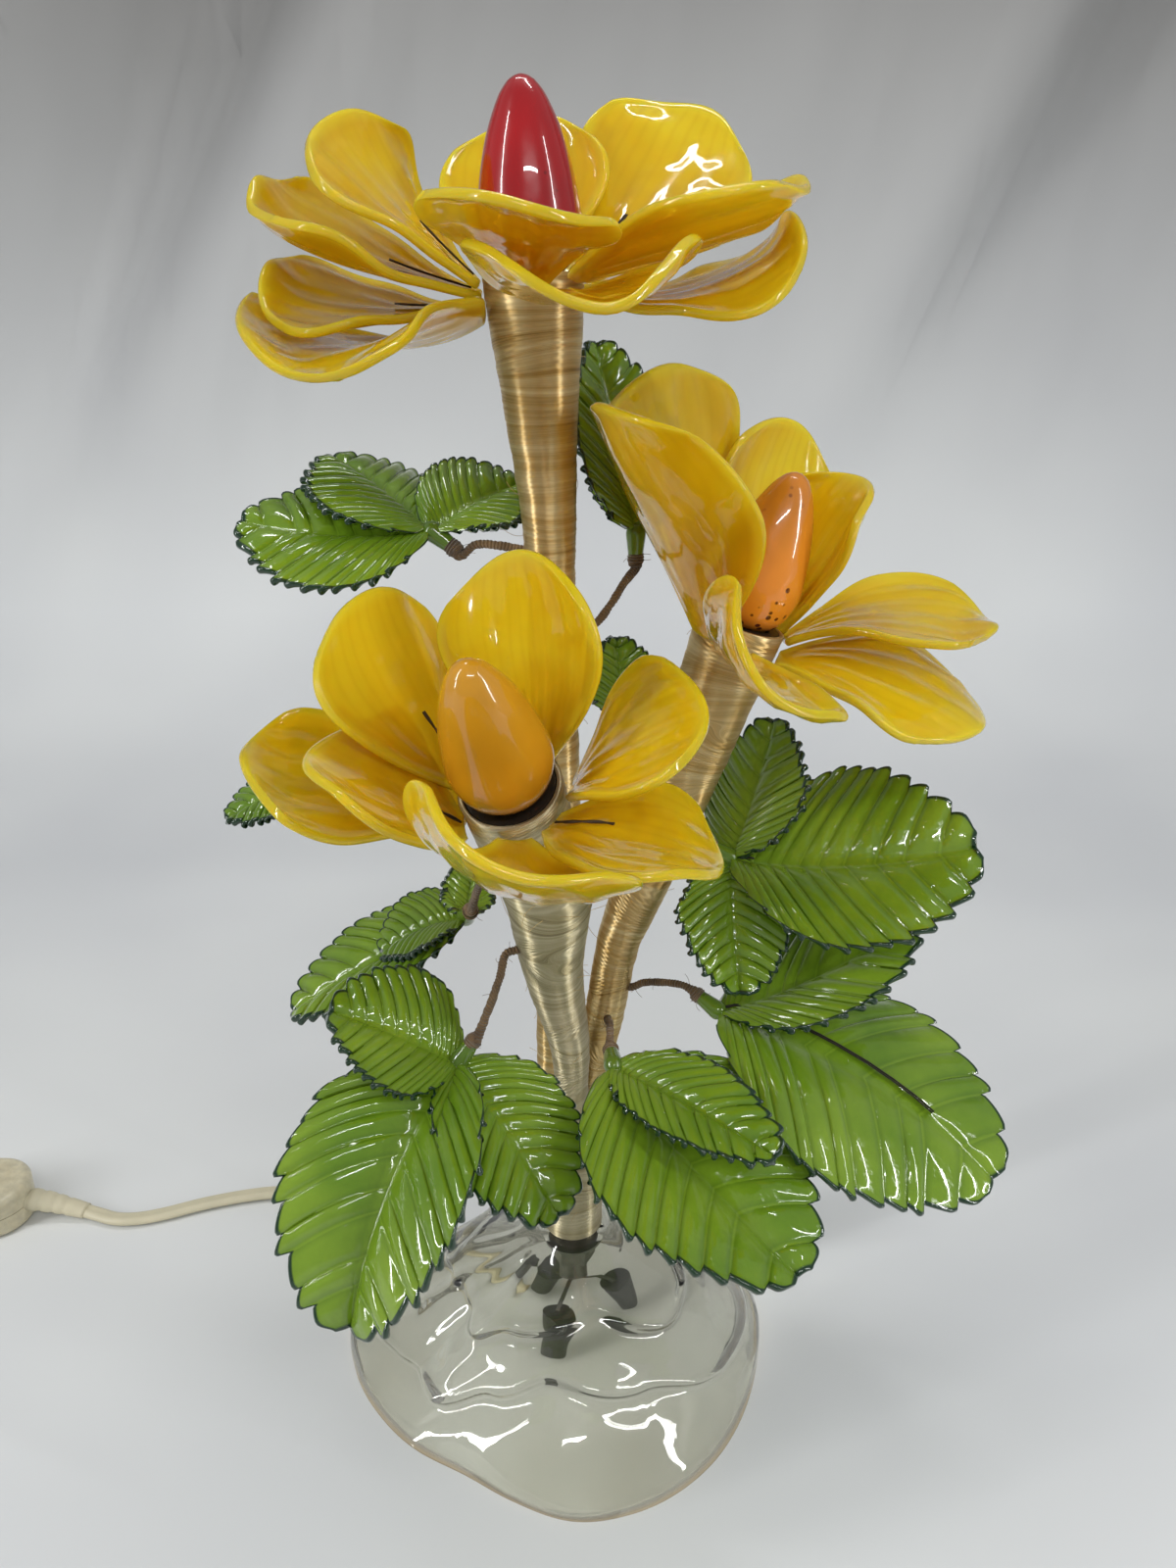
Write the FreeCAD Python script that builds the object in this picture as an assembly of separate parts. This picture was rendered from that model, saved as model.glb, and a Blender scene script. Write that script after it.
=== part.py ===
"""Table lamp with three acrylic blossoms, wrapped stems and a clear hollow base.

Lengths are in millimetres and angles in degrees. The model is laid out with the trunk
over the origin and the floor at zero height, and is centred on its own box at the end.
"""
import math
import os

import FreeCAD
import Part
from FreeCAD import Vector

os.makedirs("parts", exist_ok=True)
pieces = {}

# running clearances
seat_gap = 0.3
bore_gap = 0.3

# bulbs and sockets, all with the same screw cap
bulb_length = 48.0
bulb_radius = 14.3
bulb_neck_radius = 8.2
cap_radius = 8.4
cap_length = 22.0
cap_thread_pitch = 3.0
cap_thread_height = 0.5
contact_radius = 3.5
contact_height = 1.2
socket_collar_radius = 12.4
socket_collar_height = 4.0
socket_body_radius = 10.6
socket_floor = 3.0
socket_contact_gap = 1.0

# petals and leaves
petal_thickness = 2.4
petal_edge_round = 0.9
petal_seat = 0.4
petal_claw_share = 0.16
leaf_thickness = 2.0
leaf_teeth = 11
leaf_tooth_depth = 1.3
leaf_vein_height = 0.5
leaf_hub_radius = 3.6
leaf_sheath_length = 9.0
leaf_sheath_end_radius = 2.4
wire_radius = 1.2
wire_seat_depth = 5.0
wire_bend = 6.0
tie_wire_radius = 0.7

# trunk and stems
neck_height = 53.0
neck_radius = 14.0
trunk_height = 51.0
trunk_foot_radius = 11.0
trunk_top_radius = 12.4
stem_foot_radius = 5.4
stem_foot_gap = 0.3
cone_rim_radius = 14.2

# base
base_wall = 3.6
base_roof = 8.0
nipple_radius = 4.8
nipple_bore_radius = 3.2
nipple_above = 18.0
nipple_below = 16.0
washer_radius = 9.5
washer_thickness = 1.2
nut_across_flats = 14.0
nut_height = 6.0
connector_top_radius = 4.6
connector_skirt_radius = 6.4
connector_length = 17.0
lamp_wire_radius = 0.9

# cord, switch and plug
cord_radius = 3.5
floor_gap = 0.3
switch_length = 65.0
switch_width = 34.0
switch_height = 19.0
switch_parting = 0.3
switch_collar_length = 5.0
wheel_radius = 11.0
wheel_thickness = 5.0
wheel_reach = 2.5
wheel_pin_radius = 2.0
wheel_pin_height = 2.0
wheel_grooves = 18
wheel_groove_radius = 0.7
plug_length = 30.0
plug_width = 24.0
plug_height = 15.0
blade_length = 17.0
blade_width = 6.4
blade_thickness = 1.5
blade_spacing = 12.7
blade_root = 6.0


def polar(reach, angle, height=0.0):
    turn = math.radians(angle)
    return Vector(reach * math.cos(turn), reach * math.sin(turn), height)


def turned(vector, axis, angle):
    return FreeCAD.Rotation(axis, angle).multVec(vector)


def unit(vector):
    return Vector(vector).normalize()


def head_frame(rim, axis):
    """Frame of a flower head: origin in the socket's mouth, z along the bulb."""
    z = unit(axis)
    x = unit(Vector(1, 0, 0) - z * z.x)
    return {"rim": rim, "x": x, "y": z.cross(x), "z": z}


def in_head(frame, shape):
    rotation = FreeCAD.Rotation(frame["x"], frame["y"], frame["z"], "ZXY")
    placed = shape.copy()
    placed.Placement = FreeCAD.Placement(frame["rim"], rotation)
    return placed


def world_frame(origin):
    return {"rim": origin, "x": Vector(1, 0, 0), "y": Vector(0, 1, 0), "z": Vector(0, 0, 1)}


def circle_wire(centre, normal, radius):
    return Part.Wire(Part.makeCircle(radius, centre, normal))


def revolved(profile):
    """Solid of revolution about z from a closed list of (radius, height)."""
    points = [Vector(r, 0, h) for r, h in profile]
    face = Part.Face(Part.makePolygon(points + [points[0]]))
    return face.revolve(Vector(0, 0, 0), Vector(0, 0, 1), 360)


def rounded_route(corners, radius):
    """Straight runs with tangent arcs at the corners, tighter where a run is short."""
    edges = []
    last = corners[0]
    for before, corner, after in zip(corners, corners[1:], corners[2:]):
        back = unit(before - corner)
        ahead = unit(after - corner)
        opening = back.getAngle(ahead)
        if opening > math.pi - 0.01:
            continue
        shortest = min((before - corner).Length, (after - corner).Length)
        bend = min(radius, 0.45 * shortest * math.tan(opening / 2))
        cut = bend / math.tan(opening / 2)
        start = corner + back * cut
        end = corner + ahead * cut
        bisector = unit(back + ahead)
        centre = corner + bisector * (bend / math.sin(opening / 2))
        middle = centre - bisector * bend
        edges.append(Part.makeLine(last, start))
        edges.append(Part.Arc(start, middle, end).toShape())
        last = end
    edges.append(Part.makeLine(last, corners[-1]))
    return Part.Wire(edges)


def rod(corners, radius, bend):
    """Round rod along straight runs and bends."""
    route = rounded_route(corners, bend)
    profile = circle_wire(corners[0], unit(corners[1] - corners[0]), radius)
    return route.makePipeShell([profile], True, False)


# flower heads
heads = {
    "top": head_frame(Vector(-9.5, 0, 387), Vector(-0.05, 0, 1)),
    "right": head_frame(Vector(54, 7, 287), Vector(0.31, 0, 0.95)),
    "front": head_frame(Vector(-15, -67.5, 262), Vector(-0.17, -0.5, 0.85)),
}

# each stem: foot direction round the trunk, the way up, and the cone under the rim
stem_routes = {
    "top": {
        "foot": 150,
        "way": [(-7, 5, 122, 5.9), (-6, 7, 150, 6.8), (-4, 6, 205, 7.4), (-5, 1, 262, 7.6)],
        "cone": [(76, 7.8), (38, 10.6), (16, 13.0)],
    },
    "right": {
        "foot": 30,
        "way": [(8, 5, 122, 5.9), (11, 4, 140, 6.9), (16, 4, 172, 7.6)],
        "cone": [(94, 9.6), (50, 12.0), (20, 13.4)],
    },
    "front": {
        "foot": 270,
        "way": [(0, -9, 122, 5.9), (-1, -13, 146, 7.2), (-5.5, -25, 180, 9.8)],
        "cone": [(50, 13.6), (20, 14.0)],
    },
}
trunk_top = neck_height + seat_gap + trunk_height


def stem_stations(name):
    """Centres and radii of the wound stem, from the trunk up to the socket's mouth."""
    route = stem_routes[name]
    head = heads[name]
    spread = (stem_foot_radius * 2 + stem_foot_gap) / math.sqrt(3)
    foot = polar(spread, route["foot"], trunk_top + seat_gap)
    stations = [(foot, stem_foot_radius)]
    for x, y, z, radius in route["way"]:
        stations.append((Vector(x, y, z), radius))
    for below, radius in route["cone"]:
        stations.append((head["rim"] - head["z"] * below, radius))
    stations.append((head["rim"], cone_rim_radius))
    return stations


def cone_radius(name, below):
    """Outer radius of the wound cone at a distance under the socket's mouth."""
    steps = [(0.0, cone_rim_radius)]
    steps += [(d, r) for d, r in reversed(stem_routes[name]["cone"])]
    for (near, big), (far, small) in zip(steps, steps[1:]):
        if below <= far:
            return big + (small - big) * (below - near) / (far - near)
    return steps[-1][1]


def stem_wrap(name):
    stations = stem_stations(name)
    head = heads[name]
    curve = Part.BSplineCurve()
    curve.interpolate(
        [point for point, _ in stations],
        InitialTangent=Vector(0, 0, 1),
        FinalTangent=head["z"],
    )
    wires = []
    for point, radius in stations:
        at = curve.parameter(point)
        wires.append(circle_wire(point, unit(curve.tangent(at)[0]), radius))
    solid = Part.makeLoft(wires, True, False)
    floor_z = -(cap_length + contact_height + socket_contact_gap + socket_floor)
    bore = revolved([
        (0, 1),
        (socket_collar_radius + bore_gap, 1),
        (socket_collar_radius + bore_gap, -socket_collar_height - seat_gap),
        (socket_body_radius + bore_gap, -socket_collar_height - seat_gap),
        (socket_body_radius + bore_gap, floor_z - seat_gap),
        (0, floor_z - seat_gap),
    ])
    return solid.cut(in_head(head, bore))


def socket():
    """Black socket with a collar, a bore for the cap and a centre contact."""
    inner = cap_radius + bore_gap + cap_thread_height
    bottom = -(cap_length + contact_height + socket_contact_gap)
    return revolved([
        (inner, 0),
        (socket_collar_radius, 0),
        (socket_collar_radius, -socket_collar_height),
        (socket_body_radius, -socket_collar_height),
        (socket_body_radius, bottom - socket_floor),
        (0, bottom - socket_floor),
        (0, bottom),
        (inner, bottom),
    ])


def bulb_cap():
    """Brass cap with rolled threads and its centre contact."""
    top = -seat_gap
    profile = [(0, top), (cap_radius - cap_thread_height, top)]
    turns = int((cap_length - 4.0) / cap_thread_pitch)
    for turn in range(turns):
        start = top - 1.5 - turn * cap_thread_pitch
        profile.append((cap_radius - cap_thread_height, start))
        profile.append((cap_radius, start - cap_thread_pitch / 2))
    last = top - 1.5 - turns * cap_thread_pitch
    profile.append((cap_radius - cap_thread_height, last))
    profile.append((contact_radius + 1.5, top - cap_length))
    profile.append((contact_radius, top - cap_length))
    profile.append((contact_radius - 1.0, top - cap_length - contact_height))
    profile.append((0, top - cap_length - contact_height))
    return revolved(profile)


def bulb_glass():
    """Flame-like bulb: widest a quarter of the way up, drawn to a rounded tip."""
    outline = [
        (0.0, bulb_neck_radius),
        (0.04 * bulb_length, bulb_radius * 0.74),
        (0.12 * bulb_length, bulb_radius * 0.90),
        (0.26 * bulb_length, bulb_radius),
        (0.45 * bulb_length, bulb_radius * 0.93),
        (0.60 * bulb_length, bulb_radius * 0.81),
        (0.75 * bulb_length, bulb_radius * 0.64),
        (0.90 * bulb_length, bulb_radius * 0.39),
    ]
    points = [Vector(r, 0, h) for h, r in outline] + [Vector(0, 0, bulb_length)]
    side = Part.BSplineCurve()
    side.interpolate(points, InitialTangent=Vector(0.8, 0, 0.6), FinalTangent=Vector(-1, 0, 0))
    floor = Part.makeLine(Vector(0, 0, 0), points[0])
    middle = Part.makeLine(points[-1], Vector(0, 0, 0))
    face = Part.Face(Part.Wire([floor, side.toShape(), middle]))
    return face.revolve(Vector(0, 0, 0), Vector(0, 0, 1), 360)


# blades of petals and leaflets: a midline that climbs, swings and twists
midline_steps = 24


def midline(start, frame, shape):
    """Points, directions and inner normals along the middle of a petal or leaflet."""
    rows = []
    point = start
    step = shape["length"] / midline_steps
    for index in range(midline_steps + 1):
        u = index / midline_steps
        climb = shape["rise"] + (shape["rise_tip"] - shape["rise"]) * u
        climb = math.radians(climb + shape.get("bow", 0) * 4 * u * (1 - u))
        heading = math.radians(shape["head"] + shape["swing"] * u)
        out = frame["x"] * math.cos(heading) + frame["y"] * math.sin(heading)
        along = out * math.cos(climb) + frame["z"] * math.sin(climb)
        inner = frame["z"] * math.cos(climb) - out * math.sin(climb)
        inner = turned(inner, along, shape["roll"] + shape["twist"] * u)
        rows.append((point, along, inner))
        point = point + along * step
    return rows


def along_midline(rows, u):
    place = min(max(u, 0.0), 1.0) * midline_steps
    low = min(int(place), midline_steps - 1)
    part = place - low
    blend = [a * (1 - part) + b * part for a, b in zip(rows[low], rows[low + 1])]
    return blend[0], unit(blend[1]), unit(blend[2])


def petal_half_width(shape, u):
    widest = shape["widest"]
    if u < widest:
        swell = math.sin(math.pi / 2 * u / widest)
        share = petal_claw_share + (1 - petal_claw_share) * max(swell, 0.0) ** 1.15
    else:
        past = (u - widest) / (1 - widest)
        share = 1 - (1 - shape["tip"]) * past * past
    return shape["width"] / 2 * share


def petal_point(rows, shape, u, v):
    """Middle surface of a petal, v from -1 to 1 across it."""
    fall = (1 - shape["widest"]) / (2 * (1 - shape["tip"]))
    point_share = fall / (2 / shape["tip"] + 3 * fall)
    spot, along, inner = along_midline(rows, u * (1 - point_share * v * v * u * u))
    side = along.cross(inner)
    half = petal_half_width(shape, u)
    lean = shape["lean_right"] if v > 0 else shape["lean_left"]
    cup = math.radians(shape["cup"] * (0.35 + 0.65 * u) + lean * u)
    if abs(cup) < 0.001:
        cup = 0.001
    across = half * math.sin(cup * v) / cup
    lift = half * (1 - math.cos(cup * v)) / cup
    return spot + side * across + inner * lift


def petal_normal(rows, shape, u, v):
    u_low = max(u - 0.02, 0.0)
    u_high = min(u + 0.02, 1.0)
    v_low = max(v - 0.04, -1.0)
    v_high = min(v + 0.04, 1.0)
    along = petal_point(rows, shape, u_high, v) - petal_point(rows, shape, u_low, v)
    across = petal_point(rows, shape, u, v_high) - petal_point(rows, shape, u, v_low)
    return unit(across.cross(along))


petal_rows = 9
petal_columns = 9


def petal_solid(rows, shape):
    """Bent sheet with a softened rim, from two smooth skins and ruled edges."""
    half = petal_thickness / 2
    inner_grid = []
    outer_grid = []
    for i in range(petal_rows):
        u = i / (petal_rows - 1)
        inner_line = []
        outer_line = []
        for j in range(petal_columns):
            v = -1 + 2 * j / (petal_columns - 1)
            spot = petal_point(rows, shape, u, v)
            normal = petal_normal(rows, shape, u, v)
            inner_line.append(spot + normal * half)
            outer_line.append(spot - normal * half)
        inner_grid.append(inner_line)
        outer_grid.append(outer_line)
    skins = []
    for grid in (inner_grid, outer_grid):
        skin = Part.BSplineSurface()
        skin.interpolate(grid)
        skins.append(skin)

    def rim_point(i, j):
        u = i / (petal_rows - 1)
        v = -1 + 2 * j / (petal_columns - 1)
        spot = petal_point(rows, shape, u, v)
        push = Vector(0, 0, 0)
        if i == petal_rows - 1:
            push += unit(spot - petal_point(rows, shape, u - 0.02, v))
        if i == 0:
            push += unit(spot - petal_point(rows, shape, u + 0.02, v))
        if j == 0:
            push += unit(spot - petal_point(rows, shape, u, v + 0.04))
        if j == petal_columns - 1:
            push += unit(spot - petal_point(rows, shape, u, v - 0.04))
        return spot + unit(push) * petal_edge_round

    last_row = petal_rows - 1
    last_column = petal_columns - 1
    sides = [
        ("u", 0, [rim_point(0, j) for j in range(petal_columns)]),
        ("u", 1, [rim_point(last_row, j) for j in range(petal_columns)]),
        ("v", 0, [rim_point(i, 0) for i in range(petal_rows)]),
        ("v", 1, [rim_point(i, last_column) for i in range(petal_rows)]),
    ]
    faces = [skin.toShape() for skin in skins]
    for kind, end, points in sides:
        middle = Part.BSplineCurve()
        middle.interpolate(points)
        for skin in skins:
            u0, u1, v0, v1 = skin.bounds()
            if kind == "u":
                border = skin.uIso(u1 if end else u0)
            else:
                border = skin.vIso(v1 if end else v0)
            faces.append(Part.makeRuledSurface(border.toShape(), middle.toShape(), 1))
    shell = Part.Compound(faces)
    shell.sewShape()
    solid = Part.makeSolid(shell.Shells[0])
    if solid.Volume < 0:
        solid.reverse()
    return solid


petals = {
    "top_1": dict(
        lift=-2, at=187, head=185, swing=0, length=54, width=59, rise=40, rise_tip=62,
        bow=1, roll=-3, twist=-24, cup=20, lean_left=-16, lean_right=7, widest=0.77, tip=0.84,
    ),
    "top_2": dict(
        lift=-5, at=177, head=184, swing=11, length=65, width=60, rise=16, rise_tip=32,
        bow=0, roll=-4, twist=-20, cup=26, lean_left=2, lean_right=4, widest=0.72, tip=0.56,
    ),
    "top_3": dict(
        lift=-3.2, at=102, head=88, swing=-7, length=57, width=51, rise=43, rise_tip=63,
        bow=3, roll=-6, twist=-3, cup=28, lean_left=16, lean_right=-8, widest=0.69, tip=0.79,
    ),
    "top_4": dict(
        lift=-4.2, at=-92, head=-92, swing=7, length=68, width=45, rise=26, rise_tip=21,
        bow=-11, roll=-1, twist=-21, cup=29, lean_left=9, lean_right=-16, widest=0.79, tip=0.90,
    ),
    "top_5": dict(
        lift=-5.2, at=47, head=43, swing=5, length=75, width=53, rise=35, rise_tip=44,
        bow=2, roll=5, twist=34, cup=25, lean_left=4, lean_right=-5, widest=0.76, tip=0.79,
    ),
    "top_6": dict(
        lift=-2, at=-35, head=-28, swing=36, length=63, width=66, rise=10, rise_tip=18,
        bow=-2, roll=-8, twist=7, cup=41, lean_left=-4, lean_right=-6, widest=0.68, tip=0.75,
    ),
    "top_7": dict(
        lift=-5, at=-8, head=-11, swing=4, length=62, width=62, rise=-15, rise_tip=49,
        bow=-4, roll=5, twist=10, cup=2, lean_left=-13, lean_right=-11, widest=0.71, tip=0.72,
    ),
    "top_8": dict(
        lift=-7, at=-61, head=-80, swing=-6, length=69, width=61, rise=2, rise_tip=-18,
        bow=7, roll=4, twist=-15, cup=43, lean_left=27, lean_right=-2, widest=0.69, tip=0.78,
    ),
    "top_9": dict(
        lift=-9, at=-156, head=-162, swing=17, length=66, width=75, rise=-22, rise_tip=-7,
        bow=10, roll=30, twist=-54, cup=31, lean_left=-22, lean_right=2, widest=0.81, tip=0.88,
    ),
    "top_10": dict(
        lift=-8, at=175, head=180, swing=15, length=61, width=61, rise=-5, rise_tip=24,
        bow=-1, roll=3, twist=-30, cup=24, lean_left=-14, lean_right=-14, widest=0.73, tip=0.66,
    ),
    "right_1": dict(
        lift=-1, at=151, head=164, swing=7, length=72, width=73, rise=65, rise_tip=53,
        bow=2, roll=3, twist=-33, cup=22, lean_left=-3, lean_right=9, widest=0.78, tip=0.78,
    ),
    "right_2": dict(
        lift=-5, at=-137, head=-150, swing=-12, length=79, width=69, rise=55, rise_tip=44,
        bow=-8, roll=6, twist=7, cup=56, lean_left=-8, lean_right=3, widest=0.58, tip=0.71,
    ),
    "right_3": dict(
        lift=-6, at=73, head=88, swing=15, length=76, width=53, rise=43, rise_tip=75,
        bow=1, roll=19, twist=6, cup=28, lean_left=-2, lean_right=0, widest=0.76, tip=0.77,
    ),
    "right_4": dict(
        lift=-1, at=38, head=25, swing=-17, length=53, width=52, rise=83, rise_tip=57,
        bow=10, roll=2, twist=5, cup=47, lean_left=8, lean_right=-3, widest=0.76, tip=0.90,
    ),
    "right_5": dict(
        lift=-7, at=-90, head=-88, swing=-30, length=73, width=56, rise=0, rise_tip=18,
        bow=2, roll=3, twist=-39, cup=65, lean_left=0, lean_right=13, widest=0.82, tip=0.92,
    ),
    "right_6": dict(
        lift=-2, at=6, head=4, swing=-14, length=65, width=62, rise=43, rise_tip=-6,
        bow=2, roll=-10, twist=25, cup=19, lean_left=0, lean_right=-11, widest=0.74, tip=0.76,
    ),
    "right_7": dict(
        lift=-7, at=-22, head=-21, swing=-2, length=66, width=65, rise=30, rise_tip=-17,
        bow=-4, roll=13, twist=-2, cup=3, lean_left=-13, lean_right=-10, widest=0.65, tip=0.81,
    ),
    "front_1": dict(
        lift=-8.5, at=145, head=139, swing=-41, length=59, width=59, rise=38, rise_tip=57,
        bow=-1, roll=32, twist=30, cup=1, lean_left=-2, lean_right=-8, widest=0.70, tip=0.77,
    ),
    "front_2": dict(
        lift=-9, at=73, head=79, swing=7, length=58, width=56, rise=77, rise_tip=37,
        bow=0, roll=-16, twist=-18, cup=19, lean_left=-5, lean_right=0, widest=0.70, tip=0.83,
    ),
    "front_3": dict(
        lift=-4.5, at=0, head=4, swing=9, length=45, width=51, rise=57, rise_tip=14,
        bow=-5, roll=-24, twist=13, cup=27, lean_left=-3, lean_right=-10, widest=0.75, tip=0.82,
    ),
    "front_4": dict(
        lift=-4.5, at=-45, head=-26, swing=10, length=47, width=56, rise=28, rise_tip=-19,
        bow=-7, roll=-17, twist=-25, cup=29, lean_left=-8, lean_right=1, widest=0.68, tip=0.82,
    ),
    "front_5": dict(
        lift=-4, at=-86, head=-80, swing=-3, length=77, width=62, rise=18, rise_tip=73,
        bow=12, roll=-18, twist=-21, cup=60, lean_left=0, lean_right=8, widest=0.76, tip=0.74,
    ),
    "front_6": dict(
        lift=-9, at=-158, head=-180, swing=-25, length=45, width=60, rise=56, rise_tip=21,
        bow=7, roll=15, twist=23, cup=36, lean_left=5, lean_right=-3, widest=0.71, tip=0.89,
    ),
    "front_7": dict(
        lift=-13, at=172, head=171, swing=13, length=61, width=54, rise=21, rise_tip=27,
        bow=4, roll=10, twist=8, cup=23, lean_left=-1, lean_right=-1, widest=0.82, tip=0.76,
    ),
}


def petal_reach(flower, shape, line):
    """How far a petal must move out to clear the wound cone and the bulb's way."""
    head = heads[flower]
    short = -1000.0
    for i in range(25):
        u = i / 24
        for v in (-1, -0.5, 0, 0.5, 1):
            spot = petal_point(line, shape, u, v)
            half = petal_normal(line, shape, u, v) * (petal_thickness / 2)
            skins = [spot + half, spot - half]
            rim = Vector(0, 0, 0)
            if abs(v) == 1:
                rim = unit(spot - petal_point(line, shape, u, 0.9 * v)) * petal_edge_round
                skins += [spot + rim + half * 0.6, spot + rim - half * 0.6]
            if i == 0:
                rim = rim + unit(spot - petal_point(line, shape, 0.05, v)) * petal_edge_round
                skins += [spot + rim + half * 0.6, spot + rim - half * 0.6]
            for skin in skins:
                skin = skin - head["rim"]
                height = skin.dot(head["z"])
                away = (skin - head["z"] * height).Length
                keep = cone_radius(flower, -height) if height < 0 else bulb_radius
                short = max(short, keep + petal_seat - away)
    return short


def petal_line(flower, shape):
    """A petal's midline, its foot seated a gap away from the wound cone."""
    head = heads[flower]
    turn = math.radians(shape["at"])
    out = head["x"] * math.cos(turn) + head["y"] * math.sin(turn)
    start = head["rim"] + head["z"] * shape["lift"] + out * (cone_rim_radius + seat_gap)
    for _ in range(4):
        line = midline(start, head, shape)
        start = start + out * petal_reach(flower, shape, line)
    return midline(start, head, shape)


petal_lines = {}
for petal_name, petal_shape in petals.items():
    flower_name = petal_name.split("_")[0]
    line = petal_line(flower_name, petal_shape)
    petal_lines[petal_name] = line
    pieces["petal_" + petal_name] = petal_solid(line, petal_shape)

# thin wires that tie a petal lie along its inner face
tied_petals = [
    "top_1", "top_2", "top_5", "top_10", "right_3",
    "front_1", "front_2", "front_4", "front_6", "front_7",
]
tie_from = 0.14
tie_to = 0.38


def tie_wire(name):
    line = petal_lines[name]
    shape = petals[name]
    height = petal_thickness / 2 + seat_gap + tie_wire_radius
    points = []
    for index in range(3):
        u = tie_from + (tie_to - tie_from) * index / 2
        normal = petal_normal(line, shape, u, 0)
        points.append(petal_point(line, shape, u, 0) + normal * height)
    path = Part.Wire(Part.Arc(*points).toShape())
    heading = path.Edges[0].tangentAt(path.Edges[0].FirstParameter)
    profile = circle_wire(points[0], heading, tie_wire_radius)
    return path.makePipeShell([profile], True, False)


pieces["tie_wires"] = Part.Compound([tie_wire(name) for name in tied_petals])


def leaflet_solid(hub, shape):
    """Folded, toothed and veined leaflet as one closed faceted blade."""
    frame = world_frame(hub)
    rows = midline(hub, frame, shape)
    fold = math.radians(shape["fold"])
    steps = 2 * leaf_teeth
    tops = {}
    bottoms = {}
    for side in (-1, 0, 1):
        for k in range(steps + 1):
            u = 0.02 + 0.96 * k / steps
            is_tooth = k % 2 == 1
            reach = u + (0.35 / steps if is_tooth and side else 0)
            spot, along, inner = along_midline(rows, reach)
            across = along.cross(inner)
            half = shape["width"] / 2 * math.sin(math.pi * u ** 0.85) ** 0.7
            half += leaf_tooth_depth * (1 if is_tooth else -0.2)
            rise = leaf_vein_height if is_tooth else -leaf_vein_height
            if side == 0:
                half = 0
                rise = -leaf_vein_height
            middle = spot + across * (side * half * math.cos(fold))
            middle += inner * (half * math.sin(fold) + rise)
            tops[side, k] = middle + inner * (leaf_thickness / 2)
            bottoms[side, k] = middle - inner * (leaf_thickness / 2)
    faces = []

    def triangle(a, b, c):
        faces.append(Part.Face(Part.makePolygon([a, b, c, a])))

    for k in range(steps):
        for left, right in ((-1, 0), (0, 1)):
            for skin in (tops, bottoms):
                near = skin[left, k]
                far = skin[left, k + 1]
                near_right = skin[right, k]
                far_right = skin[right, k + 1]
                if (left == -1) == (k % 2 == 0):
                    triangle(near, far, far_right)
                    triangle(near, far_right, near_right)
                else:
                    triangle(near, far, near_right)
                    triangle(far, far_right, near_right)
        for side in (-1, 1):
            triangle(tops[side, k], tops[side, k + 1], bottoms[side, k + 1])
            triangle(tops[side, k], bottoms[side, k + 1], bottoms[side, k])
    for k in (0, steps):
        for left, right in ((-1, 0), (0, 1)):
            triangle(tops[left, k], tops[right, k], bottoms[right, k])
            triangle(tops[left, k], bottoms[right, k], bottoms[left, k])
    shell = Part.Compound(faces)
    shell.sewShape()
    solid = Part.makeSolid(shell.Shells[0])
    if solid.Volume < 0:
        solid.reverse()
    return solid


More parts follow.
